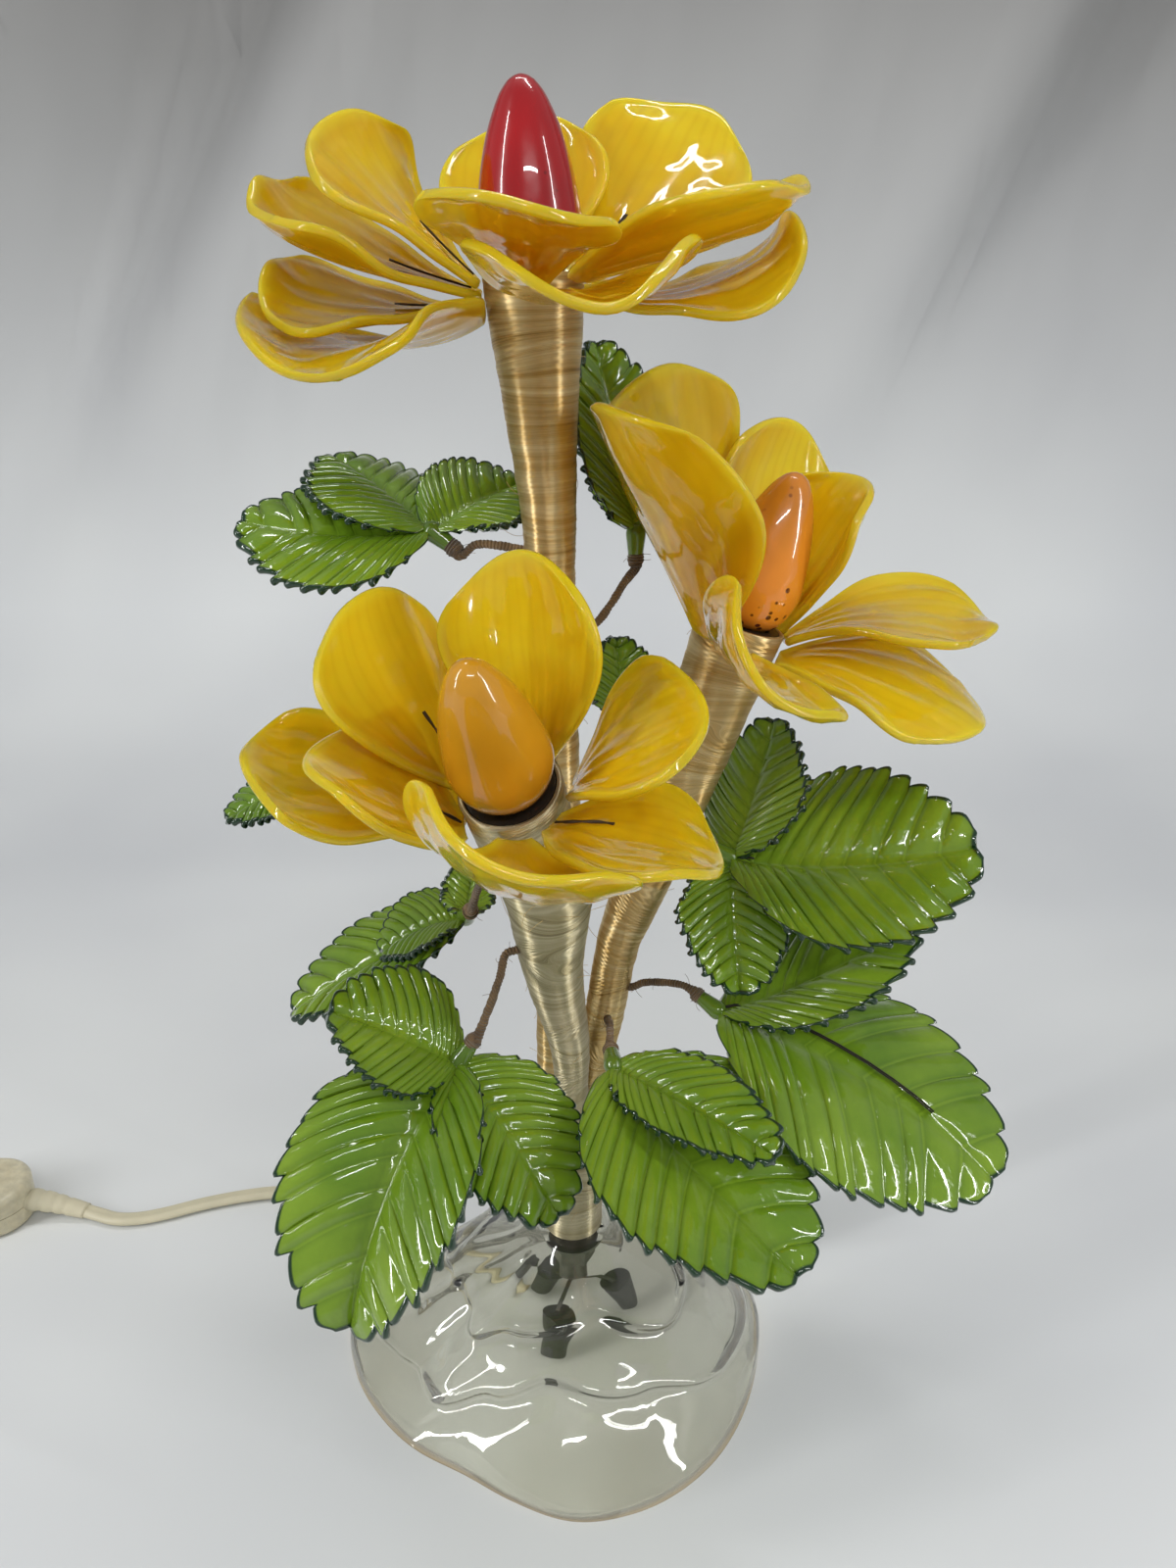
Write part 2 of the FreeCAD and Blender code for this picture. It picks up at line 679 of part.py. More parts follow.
# each leaf: its hub, the stem and height its wire enters, the wire's way, its leaflets
leaves = {
    "a": {
        "hub": (-42, 5, 316),
        "stem": ("top", 311),
        "way": [(-34, 3, 310), (-27, 3, 312)],
        "leaflets": [
            dict(
                head=179, swing=-4, rise=-8, rise_tip=14, length=60, width=50,
                fold=-2, roll=-24, twist=-5,
            ),
            dict(
                head=138, swing=-2, rise=27, rise_tip=13, length=52, width=45,
                fold=-6, roll=-1, twist=0,
            ),
            dict(
                head=44, swing=-3, rise=22, rise_tip=9, length=38, width=35,
                fold=12, roll=20, twist=6,
            ),
        ],
    },
    "b": {
        "hub": (21, 24, 312),
        "stem": ("top", 281),
        "way": [(21, 24, 304), (17, 19, 296), (10, 12, 287)],
        "leaflets": [
            dict(
                head=121, swing=4, rise=65, rise_tip=69, length=62, width=40,
                fold=15, roll=4, twist=2,
            ),
            dict(
                head=78, swing=1, rise=40, rise_tip=36, length=36, width=32,
                fold=20, roll=0, twist=0,
            ),
        ],
    },
    "c": {
        "hub": (19, 26, 247),
        "stem": ("right", 235),
        "way": [(20, 22, 238), (23, 14, 235)],
        "leaflets": [
            dict(
                head=105, swing=1, rise=58, rise_tip=66, length=30, width=25,
                fold=11, roll=8, twist=3,
            ),
            dict(
                head=43, swing=0, rise=12, rise_tip=4, length=27, width=28,
                fold=15, roll=0, twist=0,
            ),
        ],
    },
    "d": {
        "hub": (-35, -10, 191),
        "stem": ("front", 224),
        "way": [(-30, -23, 203), (-27, -27, 214)],
        "leaflets": [
            dict(
                head=85, swing=-1, rise=28, rise_tip=36, length=23, width=16,
                fold=8, roll=-2, twist=-1,
            ),
            dict(
                head=182, swing=9, rise=-8, rise_tip=-42, length=32, width=33,
                fold=11, roll=-6, twist=-1,
            ),
            dict(
                head=187, swing=0, rise=-23, rise_tip=-35, length=69, width=40,
                fold=8, roll=-8, twist=-3,
            ),
        ],
    },
    "e": {
        "hub": (-87, 26, 229),
        "stem": ("top", 213),
        "way": [(-76, 25, 223), (-50, 20, 219), (-28, 12, 215)],
        "leaflets": [
            dict(
                head=196, swing=4, rise=-20, rise_tip=-26, length=37, width=28,
                fold=0, roll=-7, twist=-1,
            ),
            dict(
                head=86, swing=3, rise=14, rise_tip=9, length=27, width=28,
                fold=15, roll=0, twist=0,
            ),
        ],
    },
    "f": {
        "hub": (-35, -49, 161),
        "stem": ("front", 194),
        "way": [(-25, -46, 175), (-22, -43, 186), (-20, -38, 193)],
        "leaflets": [
            dict(
                head=181, swing=3, rise=34, rise_tip=21, length=44, width=43,
                fold=11, roll=-24, twist=4,
            ),
            dict(
                head=238, swing=3, rise=-20, rise_tip=-76, length=86, width=62,
                fold=24, roll=-8, twist=-3,
            ),
            dict(
                head=-45, swing=4, rise=-27, rise_tip=-48, length=57, width=46,
                fold=4, roll=1, twist=0,
            ),
        ],
    },
    "g": {
        "hub": (54, 4, 206),
        "stem": ("right", 212),
        "way": [(49, 4, 209)],
        "leaflets": [
            dict(
                head=-15, swing=4, rise=-2, rise_tip=22, length=82, width=72,
                fold=9, roll=14, twist=31,
            ),
            dict(
                head=56, swing=7, rise=44, rise_tip=63, length=52, width=40,
                fold=-1, roll=-17, twist=-3,
            ),
            dict(
                head=-93, swing=13, rise=-56, rise_tip=-47, length=47, width=37,
                fold=12, roll=-5, twist=-2,
            ),
        ],
    },
    "h": {
        "hub": (50, -16, 158),
        "stem": ("right", 157),
        "way": [(43, -12, 162), (36, -8, 164), (26, -1, 160)],
        "leaflets": [
            dict(
                head=-22, swing=-4, rise=-6, rise_tip=-41, length=106, width=84,
                fold=-5, roll=-3, twist=29,
            ),
            dict(
                head=4, swing=11, rise=15, rise_tip=36, length=76, width=42,
                fold=2, roll=4, twist=13,
            ),
        ],
    },
    "i": {
        "hub": (14, -41, 154),
        "stem": ("right", 147),
        "way": [(13, -30, 154), (13, -20, 154), (13, -12, 151)],
        "leaflets": [
            dict(
                head=-49, swing=6, rise=-27, rise_tip=-20, length=85, width=72,
                fold=10, roll=9, twist=-10,
            ),
            dict(
                head=-38, swing=-3, rise=0, rise_tip=-8, length=62, width=30,
                fold=10, roll=12, twist=5,
            ),
        ],
    },
}


def stem_centre(name, height):
    """Centre and radius of a stem at a height, straight between its stations."""
    stations = stem_stations(name)
    for (low, small), (high, big) in zip(stations, stations[1:]):
        if low.z <= height <= high.z:
            share = (height - low.z) / (high.z - low.z)
            return low * (1 - share) + high * share, small * (1 - share) + big * share
    return stations[-1]


leaf_wires = []
stem_holes = {name: [] for name in heads}
for leaf_name, leaf in leaves.items():
    hub = Vector(*leaf["hub"])
    way = [Vector(*spot) for spot in leaf["way"]]
    toward = unit(way[0] - hub)
    sheath = Part.makeCone(
        leaf_hub_radius, leaf_sheath_end_radius, leaf_sheath_length, hub, toward
    )
    ball = Part.makeSphere(leaf_hub_radius, hub)
    blades = [leaflet_solid(hub, shape) for shape in leaf["leaflets"]]
    body = sheath.fuse([ball] + blades)
    sheath_end = hub + toward * leaf_sheath_length
    wire_foot = sheath_end - toward * wire_seat_depth
    pocket = Part.makeCylinder(
        wire_radius + bore_gap,
        wire_seat_depth + seat_gap + 20,
        wire_foot - toward * seat_gap,
        toward,
    )
    pieces["leaf_" + leaf_name] = body.cut(pocket)
    stem_name, entry = leaf["stem"]
    centre, radius = stem_centre(stem_name, entry)
    outward = way[-1] - centre
    outward = unit(Vector(outward.x, outward.y, 0))
    wire_end = centre + outward * (radius - wire_seat_depth)
    mouth = centre + outward * (radius + 1.5)
    beyond = sheath_end + toward * 2
    points = [wire_foot, beyond] + way[1:] + [mouth, wire_end]
    leaf_wires.append(rod(points, wire_radius, wire_bend))
    stem_holes[stem_name].append(
        Part.makeCylinder(
            wire_radius + bore_gap,
            wire_seat_depth + seat_gap + 12,
            wire_end - outward * seat_gap,
            outward,
        )
    )
pieces["leaf_wires"] = Part.Compound(leaf_wires)

for head_name, head in heads.items():
    wrap = stem_wrap(head_name)
    if stem_holes[head_name]:
        wrap = wrap.cut(stem_holes[head_name])
    pieces["stem_wrap_" + head_name] = wrap
    pieces["socket_" + head_name] = in_head(head, socket())
    pieces["bulb_cap_" + head_name] = in_head(head, bulb_cap())
    pieces["bulb_glass_" + head_name] = in_head(head, bulb_glass())

# trunk, gathered stems wound over with thread
trunk_bottom = neck_height + seat_gap
trunk_sections = [
    circle_wire(Vector(0, 0, trunk_bottom), Vector(0, 0, 1), trunk_foot_radius),
    circle_wire(
        Vector(0, 0, trunk_bottom + trunk_height * 0.5),
        Vector(0, 0, 1),
        (trunk_foot_radius + trunk_top_radius) / 2 - 0.4,
    ),
    circle_wire(Vector(0, 0, trunk_top), Vector(0, 0, 1), trunk_top_radius),
]
trunk = Part.makeLoft(trunk_sections, True, False)
nipple_hole = Part.makeCylinder(
    nipple_radius + bore_gap, nipple_above + seat_gap, Vector(0, 0, trunk_bottom)
)
pieces["trunk_wrap"] = trunk.cut(nipple_hole)

# base: reach of the foot every thirty degrees, and how it draws in to the neck
foot_reach = [74, 70, 64, 60, 61, 70, 88, 81, 78, 83, 79, 77]
draw_in = [(0, 1.0), (6, 0.96), (15, 0.84), (23, 0.72), (31, 0.60), (39, 0.42), (46, 0.16)]
fold_depth = 0.035


def base_ring(height, share, inset, drop):
    """Closed wavy outline of the base at a height."""
    points = []
    for index in range(24):
        angle = index * 15
        low = foot_reach[(index // 2) % 12]
        high = foot_reach[(index // 2 + 1) % 12]
        reach = low if index % 2 == 0 else (low + high) / 2
        wave = 1 + fold_depth * math.sin(math.radians(4 * angle + height * 9)) * share
        distance = neck_radius + (reach - neck_radius) * share * wave - inset
        points.append(polar(distance, angle, height - drop))
    curve = Part.BSplineCurve()
    curve.interpolate(points, PeriodicFlag=True)
    return Part.Wire(curve.toShape())


outer_rings = [base_ring(z, share, 0, 0) for z, share in draw_in]
outer_rings.append(circle_wire(Vector(0, 0, neck_height), Vector(0, 0, 1), neck_radius))
shell_outside = Part.makeLoft(outer_rings, True, False)
inner_rings = [base_ring(z, share, base_wall, 1 if z == 0 else 3) for z, share in draw_in[:-1]]
roof_height = neck_height - base_roof
inner_rings.append(
    circle_wire(Vector(0, 0, roof_height), Vector(0, 0, 1), washer_radius + 2)
)
shell_inside = Part.makeLoft(inner_rings, True, False)
base = shell_outside.cut(shell_inside)
base = base.cut(Part.makeCylinder(nipple_radius + bore_gap, neck_height + 2))
cord_exit_angle = 143
cord_height = cord_radius + floor_gap
notch = Part.makeCylinder(
    cord_radius + bore_gap, 60, polar(38, cord_exit_angle, cord_height),
    polar(1, cord_exit_angle),
)
notch_foot = Part.makeBox(
    60, 2 * (cord_radius + bore_gap), cord_height + 1,
    Vector(38, -cord_radius - bore_gap, -1),
)
notch_foot.rotate(Vector(0, 0, 0), Vector(0, 0, 1), cord_exit_angle)
pieces["base_shell"] = base.cut([notch, notch_foot])

nipple_bottom = roof_height - nipple_below
nipple = Part.makeCylinder(
    nipple_radius, nipple_below + base_roof + nipple_above, Vector(0, 0, nipple_bottom)
)
nipple_bore = Part.makeCylinder(
    nipple_bore_radius, nipple_below + base_roof + nipple_above, Vector(0, 0, nipple_bottom)
)
pieces["base_nipple"] = nipple.cut(nipple_bore)

washer_top = roof_height - seat_gap
washer = Part.makeCylinder(
    washer_radius, washer_thickness, Vector(0, 0, washer_top - washer_thickness)
)
nut_top = washer_top - washer_thickness
corners = [
    polar(nut_across_flats / math.sqrt(3), 60 * index, nut_top - nut_height)
    for index in range(7)
]
nut = Part.Face(Part.makePolygon(corners)).extrude(Vector(0, 0, nut_height))
nut_bore = Part.makeCylinder(
    nipple_radius + bore_gap, nut_height + washer_thickness, Vector(0, 0, nut_top - nut_height)
)
pieces["base_nuts"] = washer.fuse(nut).cut(nut_bore)


def wire_connector(angle):
    """Twist-on connector, its lamp wire led up into the nipple."""
    spread = nipple_bore_radius - lamp_wire_radius - 0.4
    up = polar(spread, angle, nipple_bottom + wire_seat_depth)
    mouth = polar(spread, angle, nipple_bottom - 2)
    collar = polar(13, angle, nipple_bottom - 7)
    top = polar(16, angle, nipple_bottom - 10)
    lead = rod([up, mouth, collar, top], lamp_wire_radius, 3.0)
    down = Vector(polar(0.35, angle).x, polar(0.35, angle).y, -1)
    cap = Part.makeCone(
        connector_skirt_radius, connector_top_radius, connector_length,
        top, unit(down),
    )
    return cap.fuse(lead)


pieces["wire_connectors"] = Part.Compound([wire_connector(angle) for angle in (250, 10, 130)])


def cord_tube(route, start, heading):
    profile = circle_wire(start, heading, cord_radius)
    return route.makePipeShell([profile], True, False)


# cord on the floor, from the connectors to the switch
switch_centre = Vector(-275, 60, floor_gap + switch_height / 2)
switch_end = switch_length / 2
cord_entry = 11.0
lead_corners = [
    Vector(-22, 16, cord_height),
    polar(74, cord_exit_angle, cord_height),
    Vector(-124, 74, cord_height),
    Vector(-160, 68, cord_height),
    Vector(-197, 52, cord_height),
    Vector(-219, 60, cord_height),
    Vector(switch_centre.x + switch_end + 2, switch_centre.y, switch_centre.z),
    Vector(switch_centre.x + switch_end - cord_entry, switch_centre.y, switch_centre.z),
]
lead_route = rounded_route(lead_corners, 9)
lead_heading = unit(lead_corners[1] - lead_corners[0])
pieces["cord_lead"] = cord_tube(lead_route, lead_corners[0], lead_heading)

# coil: three turns in on the floor, three turns out on top, then down beside it
coil_outer = 40.0
coil_turns = 3
coil_pitch = 2 * cord_radius + 0.8
coil_rise = 2 * cord_radius + 0.9
coil_centre = Vector(
    switch_centre.x - switch_length / 2 - 50, switch_centre.y - coil_outer - 12, 0
)
tail_corners = [
    Vector(switch_centre.x - switch_end + cord_entry, switch_centre.y, switch_centre.z),
    Vector(switch_centre.x - switch_end - 1, switch_centre.y, switch_centre.z),
    Vector(switch_centre.x - switch_end - 13, switch_centre.y, cord_height),
    Vector(coil_centre.x - coil_outer, switch_centre.y, cord_height),
    Vector(coil_centre.x - coil_outer, coil_centre.y, cord_height),
]
tail_start = rounded_route(tail_corners[:4], 9)


def tail_route():
    lines = tail_start.Edges[:-1]
    bend = 40.0
    corner = tail_corners[3]
    start = corner + Vector(bend, 0, 0)
    end = corner + Vector(0, -bend, 0)
    middle = corner + Vector(bend, -bend, 0) + unit(Vector(-1, 1, 0)) * bend
    joined = lines[-1].Vertexes[-1].Point
    edges = lines + [
        Part.makeLine(joined, start),
        Part.Arc(start, middle, end).toShape(),
        Part.makeLine(end, tail_corners[4]),
    ]
    return Part.Wire(edges)


pieces["cord_tail"] = cord_tube(tail_route(), tail_corners[0], Vector(-1, 0, 0))


def coil_nodes():
    """Half-turn nodes of the coil as (radius, height, turn angle)."""
    half = coil_pitch / 2
    count = 2 * coil_turns
    nodes = []
    for k in range(count + 1):
        nodes.append((coil_outer - half * k, cord_height, 180 + 180 * k))
    top = cord_height + coil_rise
    inner = coil_outer - half * (count + 1)
    nodes.append((inner, top, 180 + 180 * (count + 1)))
    odd = inner + coil_pitch + 1.0
    even = odd
    for k in range(count + 2, 2 * count + 3):
        if (k - count) % 2 == 0:
            nodes.append((even, top, 180 + 180 * k))
            even += coil_pitch
        else:
            nodes.append((odd + 0.2, top, 180 + 180 * k))
            odd += coil_pitch
    return nodes


def biarc(p0, t0, p1, t1):
    """Two tangent arcs from one point and heading to another."""
    span = p1 - p0
    both = t0 + t1
    flat = 2 * (1 - t0.dot(t1))
    lead = span.dot(both)
    reach = (-lead + math.sqrt(lead * lead + flat * span.dot(span))) / flat
    joint = (p0 + p1 + (t0 - t1) * reach) * 0.5
    arcs = []
    for start, heading, end in ((p0, t0, joint), (p1, t1 * -1, joint)):
        chord = end - start
        normal = heading.cross(chord).cross(heading)
        normal = unit(normal)
        radius = chord.dot(chord) / (2 * chord.dot(normal))
        centre = start + normal * radius
        middle = centre + unit((start + end) * 0.5 - centre) * radius
        arcs.append((start, middle, end))
    first = Part.Arc(*arcs[0]).toShape()
    second = Part.Arc(arcs[1][2], arcs[1][1], arcs[1][0]).toShape()
    return [first, second]


coil_edges = []
coil_spots = []
for radius, height, angle in coil_nodes():
    spot = coil_centre + polar(radius, angle, height)
    coil_spots.append((spot, polar(1, angle + 90)))
side_spot = coil_centre + polar(coil_spots[-1][0].sub(coil_centre).x * -1 + 8, 270, cord_height)
coil_spots.append((side_spot, Vector(1, 0, 0)))
for (p0, t0), (p1, t1) in zip(coil_spots, coil_spots[1:]):
    coil_edges += biarc(p0, t0, p1, t1)
plug_axis = floor_gap + plug_height / 2
end_corners = [
    side_spot,
    side_spot + Vector(12, 0, 0),
    Vector(side_spot.x + 30, side_spot.y, plug_axis),
    Vector(side_spot.x + 44, side_spot.y, plug_axis),
]
coil_edges += rounded_route(end_corners, 9).Edges
coil_route = Part.Wire(coil_edges)
pieces["cord_coil"] = cord_tube(coil_route, coil_spots[0][0], Vector(0, -1, 0))


def least_self_gap(route, radius):
    points = route.discretize(Distance=2.5)
    least = 1e9
    skip = int(4 * radius / 2.5) + 2
    for i, near in enumerate(points):
        for far in points[i + skip:]:
            least = min(least, near.distanceToPoint(far))
    return least - 2 * radius


coil_gap = least_self_gap(coil_route, cord_radius)
cord_length = lead_route.Length + tail_route().Length + coil_route.Length
print("coil least gap to itself %.2f" % coil_gap)
print("cord length %.0f" % cord_length)

# plug lying beside the coil
plug_rear = Vector(end_corners[-1].x - 6, side_spot.y, plug_axis)
plug = Part.makeBox(
    plug_length, plug_width, plug_height,
    Vector(plug_rear.x, plug_rear.y - plug_width / 2, floor_gap),
)
plug = plug.makeFillet(3.5, [
    edge for edge in plug.Edges if abs(edge.tangentAt(edge.FirstParameter).x) > 0.9
])
cord_hole = Part.makeCylinder(
    cord_radius + bore_gap, 6 + seat_gap, plug_rear, Vector(1, 0, 0)
)
blades = []
slots = []
blade_start = plug_rear.x + plug_length - blade_root
for side in (-1, 1):
    y = plug_rear.y + side * blade_spacing / 2
    blades.append(Part.makeBox(
        blade_length + blade_root, blade_thickness, blade_width,
        Vector(blade_start, y - blade_thickness / 2, plug_axis - blade_width / 2),
    ))
    slots.append(Part.makeBox(
        blade_root + seat_gap + 1, blade_thickness + 2 * bore_gap, blade_width + 2 * bore_gap,
        Vector(
            blade_start - seat_gap,
            y - blade_thickness / 2 - bore_gap,
            plug_axis - blade_width / 2 - bore_gap,
        ),
    ))
pieces["plug_body"] = plug.cut([cord_hole] + slots)
pieces["plug_blades"] = Part.Compound(blades)


# in-line switch with a thumbwheel between its halves
def switch_half(bottom, top):
    """Half shell of the switch: a stadium plan with softened edges."""
    radius = switch_width / 2
    straight = switch_length / 2 - radius
    c = switch_centre
    corners = [
        Vector(c.x - straight, c.y - radius, bottom),
        Vector(c.x + straight, c.y - radius, bottom),
        Vector(c.x + straight, c.y + radius, bottom),
        Vector(c.x - straight, c.y + radius, bottom),
    ]
    right = Part.Arc(corners[1], Vector(c.x + switch_length / 2, c.y, bottom), corners[2])
    left = Part.Arc(corners[3], Vector(c.x - switch_length / 2, c.y, bottom), corners[0])
    wire = Part.Wire([
        Part.makeLine(corners[0], corners[1]),
        right.toShape(),
        Part.makeLine(corners[2], corners[3]),
        left.toShape(),
    ])
    return Part.Face(wire).extrude(Vector(0, 0, top - bottom))


parting_low = switch_centre.z - switch_parting / 2
parting_high = switch_centre.z + switch_parting / 2
lower = switch_half(floor_gap, parting_low)
upper = switch_half(parting_high, floor_gap + switch_height)
lower = lower.makeFillet(3.0, [e for e in lower.Edges if e.BoundBox.ZMax < floor_gap + 0.01])
upper = upper.makeFillet(
    3.0, [e for e in upper.Edges if e.BoundBox.ZMin > floor_gap + switch_height - 0.01]
)
wheel_centre = Vector(
    switch_centre.x,
    switch_centre.y - switch_width / 2 + wheel_radius - wheel_reach,
    switch_centre.z,
)
pocket = Part.makeCylinder(
    wheel_radius + bore_gap, wheel_thickness + 2 * seat_gap,
    wheel_centre - Vector(0, 0, wheel_thickness / 2 + seat_gap),
)
pin_hole = Part.makeCylinder(
    wheel_pin_radius + bore_gap, wheel_thickness + 2 * wheel_pin_height + 2 * seat_gap,
    wheel_centre - Vector(0, 0, wheel_thickness / 2 + wheel_pin_height + seat_gap),
)
channel = Part.makeCylinder(
    cord_radius + bore_gap, switch_length + 20,
    switch_centre - Vector(switch_length / 2 + 10, 0, 0), Vector(1, 0, 0),
)
web = Part.makeBox(
    switch_length - 2 * (cord_entry + seat_gap), switch_width, switch_height,
    switch_centre - Vector(switch_length / 2 - cord_entry - seat_gap, switch_width / 2, switch_height / 2),
)
channel = channel.cut(web)
pieces["switch_bottom"] = lower.cut([pocket, pin_hole, channel])
pieces["switch_top"] = upper.cut([pocket, pin_hole, channel])
wheel = Part.makeCylinder(
    wheel_radius, wheel_thickness, wheel_centre - Vector(0, 0, wheel_thickness / 2)
)
grooves = []
for index in range(wheel_grooves):
    spot = wheel_centre + polar(wheel_radius, index * 360 / wheel_grooves)
    grooves.append(Part.makeCylinder(
        wheel_groove_radius, wheel_thickness, spot - Vector(0, 0, wheel_thickness / 2)
    ))
wheel = wheel.cut(grooves)
pin = Part.makeCylinder(
    wheel_pin_radius, wheel_thickness + 2 * wheel_pin_height,
    wheel_centre - Vector(0, 0, wheel_thickness / 2 + wheel_pin_height),
)
pieces["switch_wheel"] = wheel.fuse(pin)

# centre the lamp, without its cord, over the origin and write every piece
cord_pieces = {
    "cord_lead", "cord_tail", "cord_coil", "plug_body", "plug_blades",
    "switch_top", "switch_bottom", "switch_wheel",
}
lamp_box = FreeCAD.BoundBox()
for name, piece in pieces.items():
    if name not in cord_pieces:
        lamp_box.add(piece.optimalBoundingBox(True, False))
shift = Vector(-lamp_box.Center.x, -lamp_box.Center.y, -lamp_box.ZMin)
print("shift %.3f %.3f %.3f" % (shift.x, shift.y, shift.z))
print("lamp box %.1f x %.1f x %.1f" % (lamp_box.XLength, lamp_box.YLength, lamp_box.ZLength))
for name, piece in pieces.items():
    moved = piece.copy()
    moved.translate(shift)
    moved.exportStep("parts/" + name + ".step")
print("pieces", len(pieces))
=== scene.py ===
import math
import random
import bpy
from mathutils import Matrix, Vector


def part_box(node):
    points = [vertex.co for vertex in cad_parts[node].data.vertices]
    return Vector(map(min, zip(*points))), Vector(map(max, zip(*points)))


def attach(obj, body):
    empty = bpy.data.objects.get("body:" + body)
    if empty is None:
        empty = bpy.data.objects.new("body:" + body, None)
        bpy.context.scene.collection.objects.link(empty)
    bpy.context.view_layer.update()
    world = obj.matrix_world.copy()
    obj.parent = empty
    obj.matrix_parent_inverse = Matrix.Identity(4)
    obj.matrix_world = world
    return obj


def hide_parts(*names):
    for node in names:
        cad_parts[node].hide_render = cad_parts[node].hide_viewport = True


bl_info = {
    "name": "Acrylic Flower Table Lamp",
    "version": (1, 0, 0),
    "blender": (4, 5, 0),
    "location": "View3D > Sidebar > Lamp",
    "description": "Builds the blossoms, leaves, wound stems, clear base and cord of a flower lamp",
    "category": "Object",
}

import bmesh
import bpy
from mathutils import Euler, Quaternion, Vector, noise

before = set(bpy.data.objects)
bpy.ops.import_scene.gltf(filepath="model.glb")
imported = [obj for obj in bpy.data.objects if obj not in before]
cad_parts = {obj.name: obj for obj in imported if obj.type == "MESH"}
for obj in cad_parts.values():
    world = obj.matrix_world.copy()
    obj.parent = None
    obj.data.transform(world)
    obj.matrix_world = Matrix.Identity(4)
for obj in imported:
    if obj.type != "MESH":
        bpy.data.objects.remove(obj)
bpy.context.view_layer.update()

# Shapes are laid out in millimetres with the trunk over the origin, as the lamp's own source
# does. The nipple through the base stands on that axis, so it says where the trunk is.
nipple_low, nipple_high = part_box("base_nipple")
trunk_axis = Vector(((nipple_low.x + nipple_high.x) / 2, (nipple_low.y + nipple_high.y) / 2, 0))


def place(spot):
    return Vector(spot) * 0.001 + trunk_axis


def polar(reach, angle, height=0.0):
    turn = math.radians(angle)
    return Vector((reach * math.cos(turn), reach * math.sin(turn), height))


def turned(vector, axis, angle):
    return Quaternion(axis, math.radians(angle)) @ vector


def smooth(low, high, value):
    share = min(max((value - low) / (high - low), 0.0), 1.0)
    return share * share * (3 - 2 * share)


def colour(code):
    """Linear colour of a six-digit sRGB hex value."""
    parts = [int(code[at:at + 2], 16) / 255 for at in (0, 2, 4)]
    return [c / 12.92 if c <= 0.04045 else ((c + 0.055) / 1.055) ** 2.4 for c in parts]


def darker(code, share):
    """Hex colour with each part brought down to a share of itself."""
    return "".join("%02X" % int(int(code[at:at + 2], 16) * share) for at in (0, 2, 4))


# Materials

# each kind of node in use: its type, the output it gives, the sockets that its inputs fill in order,
# and its fixed settings
KINDS = {
    "place": ("TexCoord", "Object", (), {}),
    "surface": ("NewGeometry", "Normal", (), {}),
    "mark": ("Attribute", "Fac", (), {}),
    "noise": ("TexNoise", "Fac", ("Vector", "Scale", "Detail", "Roughness"), {}),
    "cells": ("TexVoronoi", "Distance", ("Vector", "Scale"), {}),
    "height": ("SeparateXYZ", "Z", ("Vector",), {}),
    "ramp": ("ValToRGB", "Color", ("Fac",), {}),
    "mix": ("Mix", 2, (0, 6, 7), {"data_type": "RGBA"}),
    "cross": ("VectorMath", 0, (0, 1), {"operation": "CROSS_PRODUCT"}),
    "bump": ("Bump", "Normal", ("Height", "Distance"), {}),
}


def new_material(name):
    """Material, its node tree, and the place on the piece that its patterns start from."""
    material = bpy.data.materials.new(name)
    material.use_nodes = True
    return material, material.node_tree, add(material.node_tree, "place")


def feed(tree, socket, value):
    """Links a socket, or sets it; text is an sRGB hex colour."""
    if isinstance(value, bpy.types.NodeSocket):
        tree.links.new(value, socket)
    elif isinstance(value, str):
        socket.default_value = (*colour(value), 1)
    else:
        socket.default_value = value


def add(tree, kind, *inputs, stops=(), **values):
    """Adds a node with its settings, links and colour stops, and gives its output.

    A kind that KINDS doesn't list is an operation of the math node.
    """
    node_type, output, order, fixed = KINDS.get(kind, ("Math", 0, (0, 1, 2), {"operation": kind}))
    node = tree.nodes.new("ShaderNode" + node_type)
    sockets = dict(zip(order, inputs))
    for name, value in {**fixed, **values}.items():
        if name in node.inputs:
            sockets[name] = value
        else:
            setattr(node, name, value)
    for name, value in sockets.items():
        feed(tree, node.inputs[name], value)
    for _ in stops[2:]:
        node.color_ramp.elements.new(0.5)
    for element, (at, code) in zip(node.color_ramp.elements if stops else (), stops):
        element.position = at
        element.color = (*colour(code), 1)
    return node.outputs[output]


def finish(material, values):
    tree = material.node_tree
    for name, value in values.items():
        feed(tree, tree.nodes["Principled BSDF"].inputs[name], value)
    return material


# Meshes


def mesh_piece(name, spots, faces, material, marks=None):
    """Object from millimetre points, with even normals and named marks per point."""
    mesh = bpy.data.meshes.new(name)
    mesh.from_pydata([place(spot) for spot in spots], [], faces)
    work = bmesh.new()
    work.from_mesh(mesh)
    bmesh.ops.recalc_face_normals(work, faces=work.faces)
    work.to_mesh(mesh)
    work.free()
    for mark_name, values in (marks or {}).items():
        attribute = mesh.attributes.new(mark_name, "FLOAT", "POINT")
        attribute.data.foreach_set("value", values)
    mesh.polygons.foreach_set("use_smooth", [True] * len(mesh.polygons))
    mesh.materials.append(material)
    piece = bpy.data.objects.new(name, mesh)
    bpy.context.scene.collection.objects.link(piece)
    return piece


def settle(piece, body, slot, *nodes):
    """The piece rides on its body and stands for its nodes, which are hidden; its slot is not used."""
    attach(piece, body)
    if nodes:
        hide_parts(*nodes)
    return piece


def repaint(material, *names):
    """Gives CAD pieces the finish of the real ones."""
    for name in names:
        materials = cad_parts[name].data.materials
        materials.clear()
        materials.append(material)


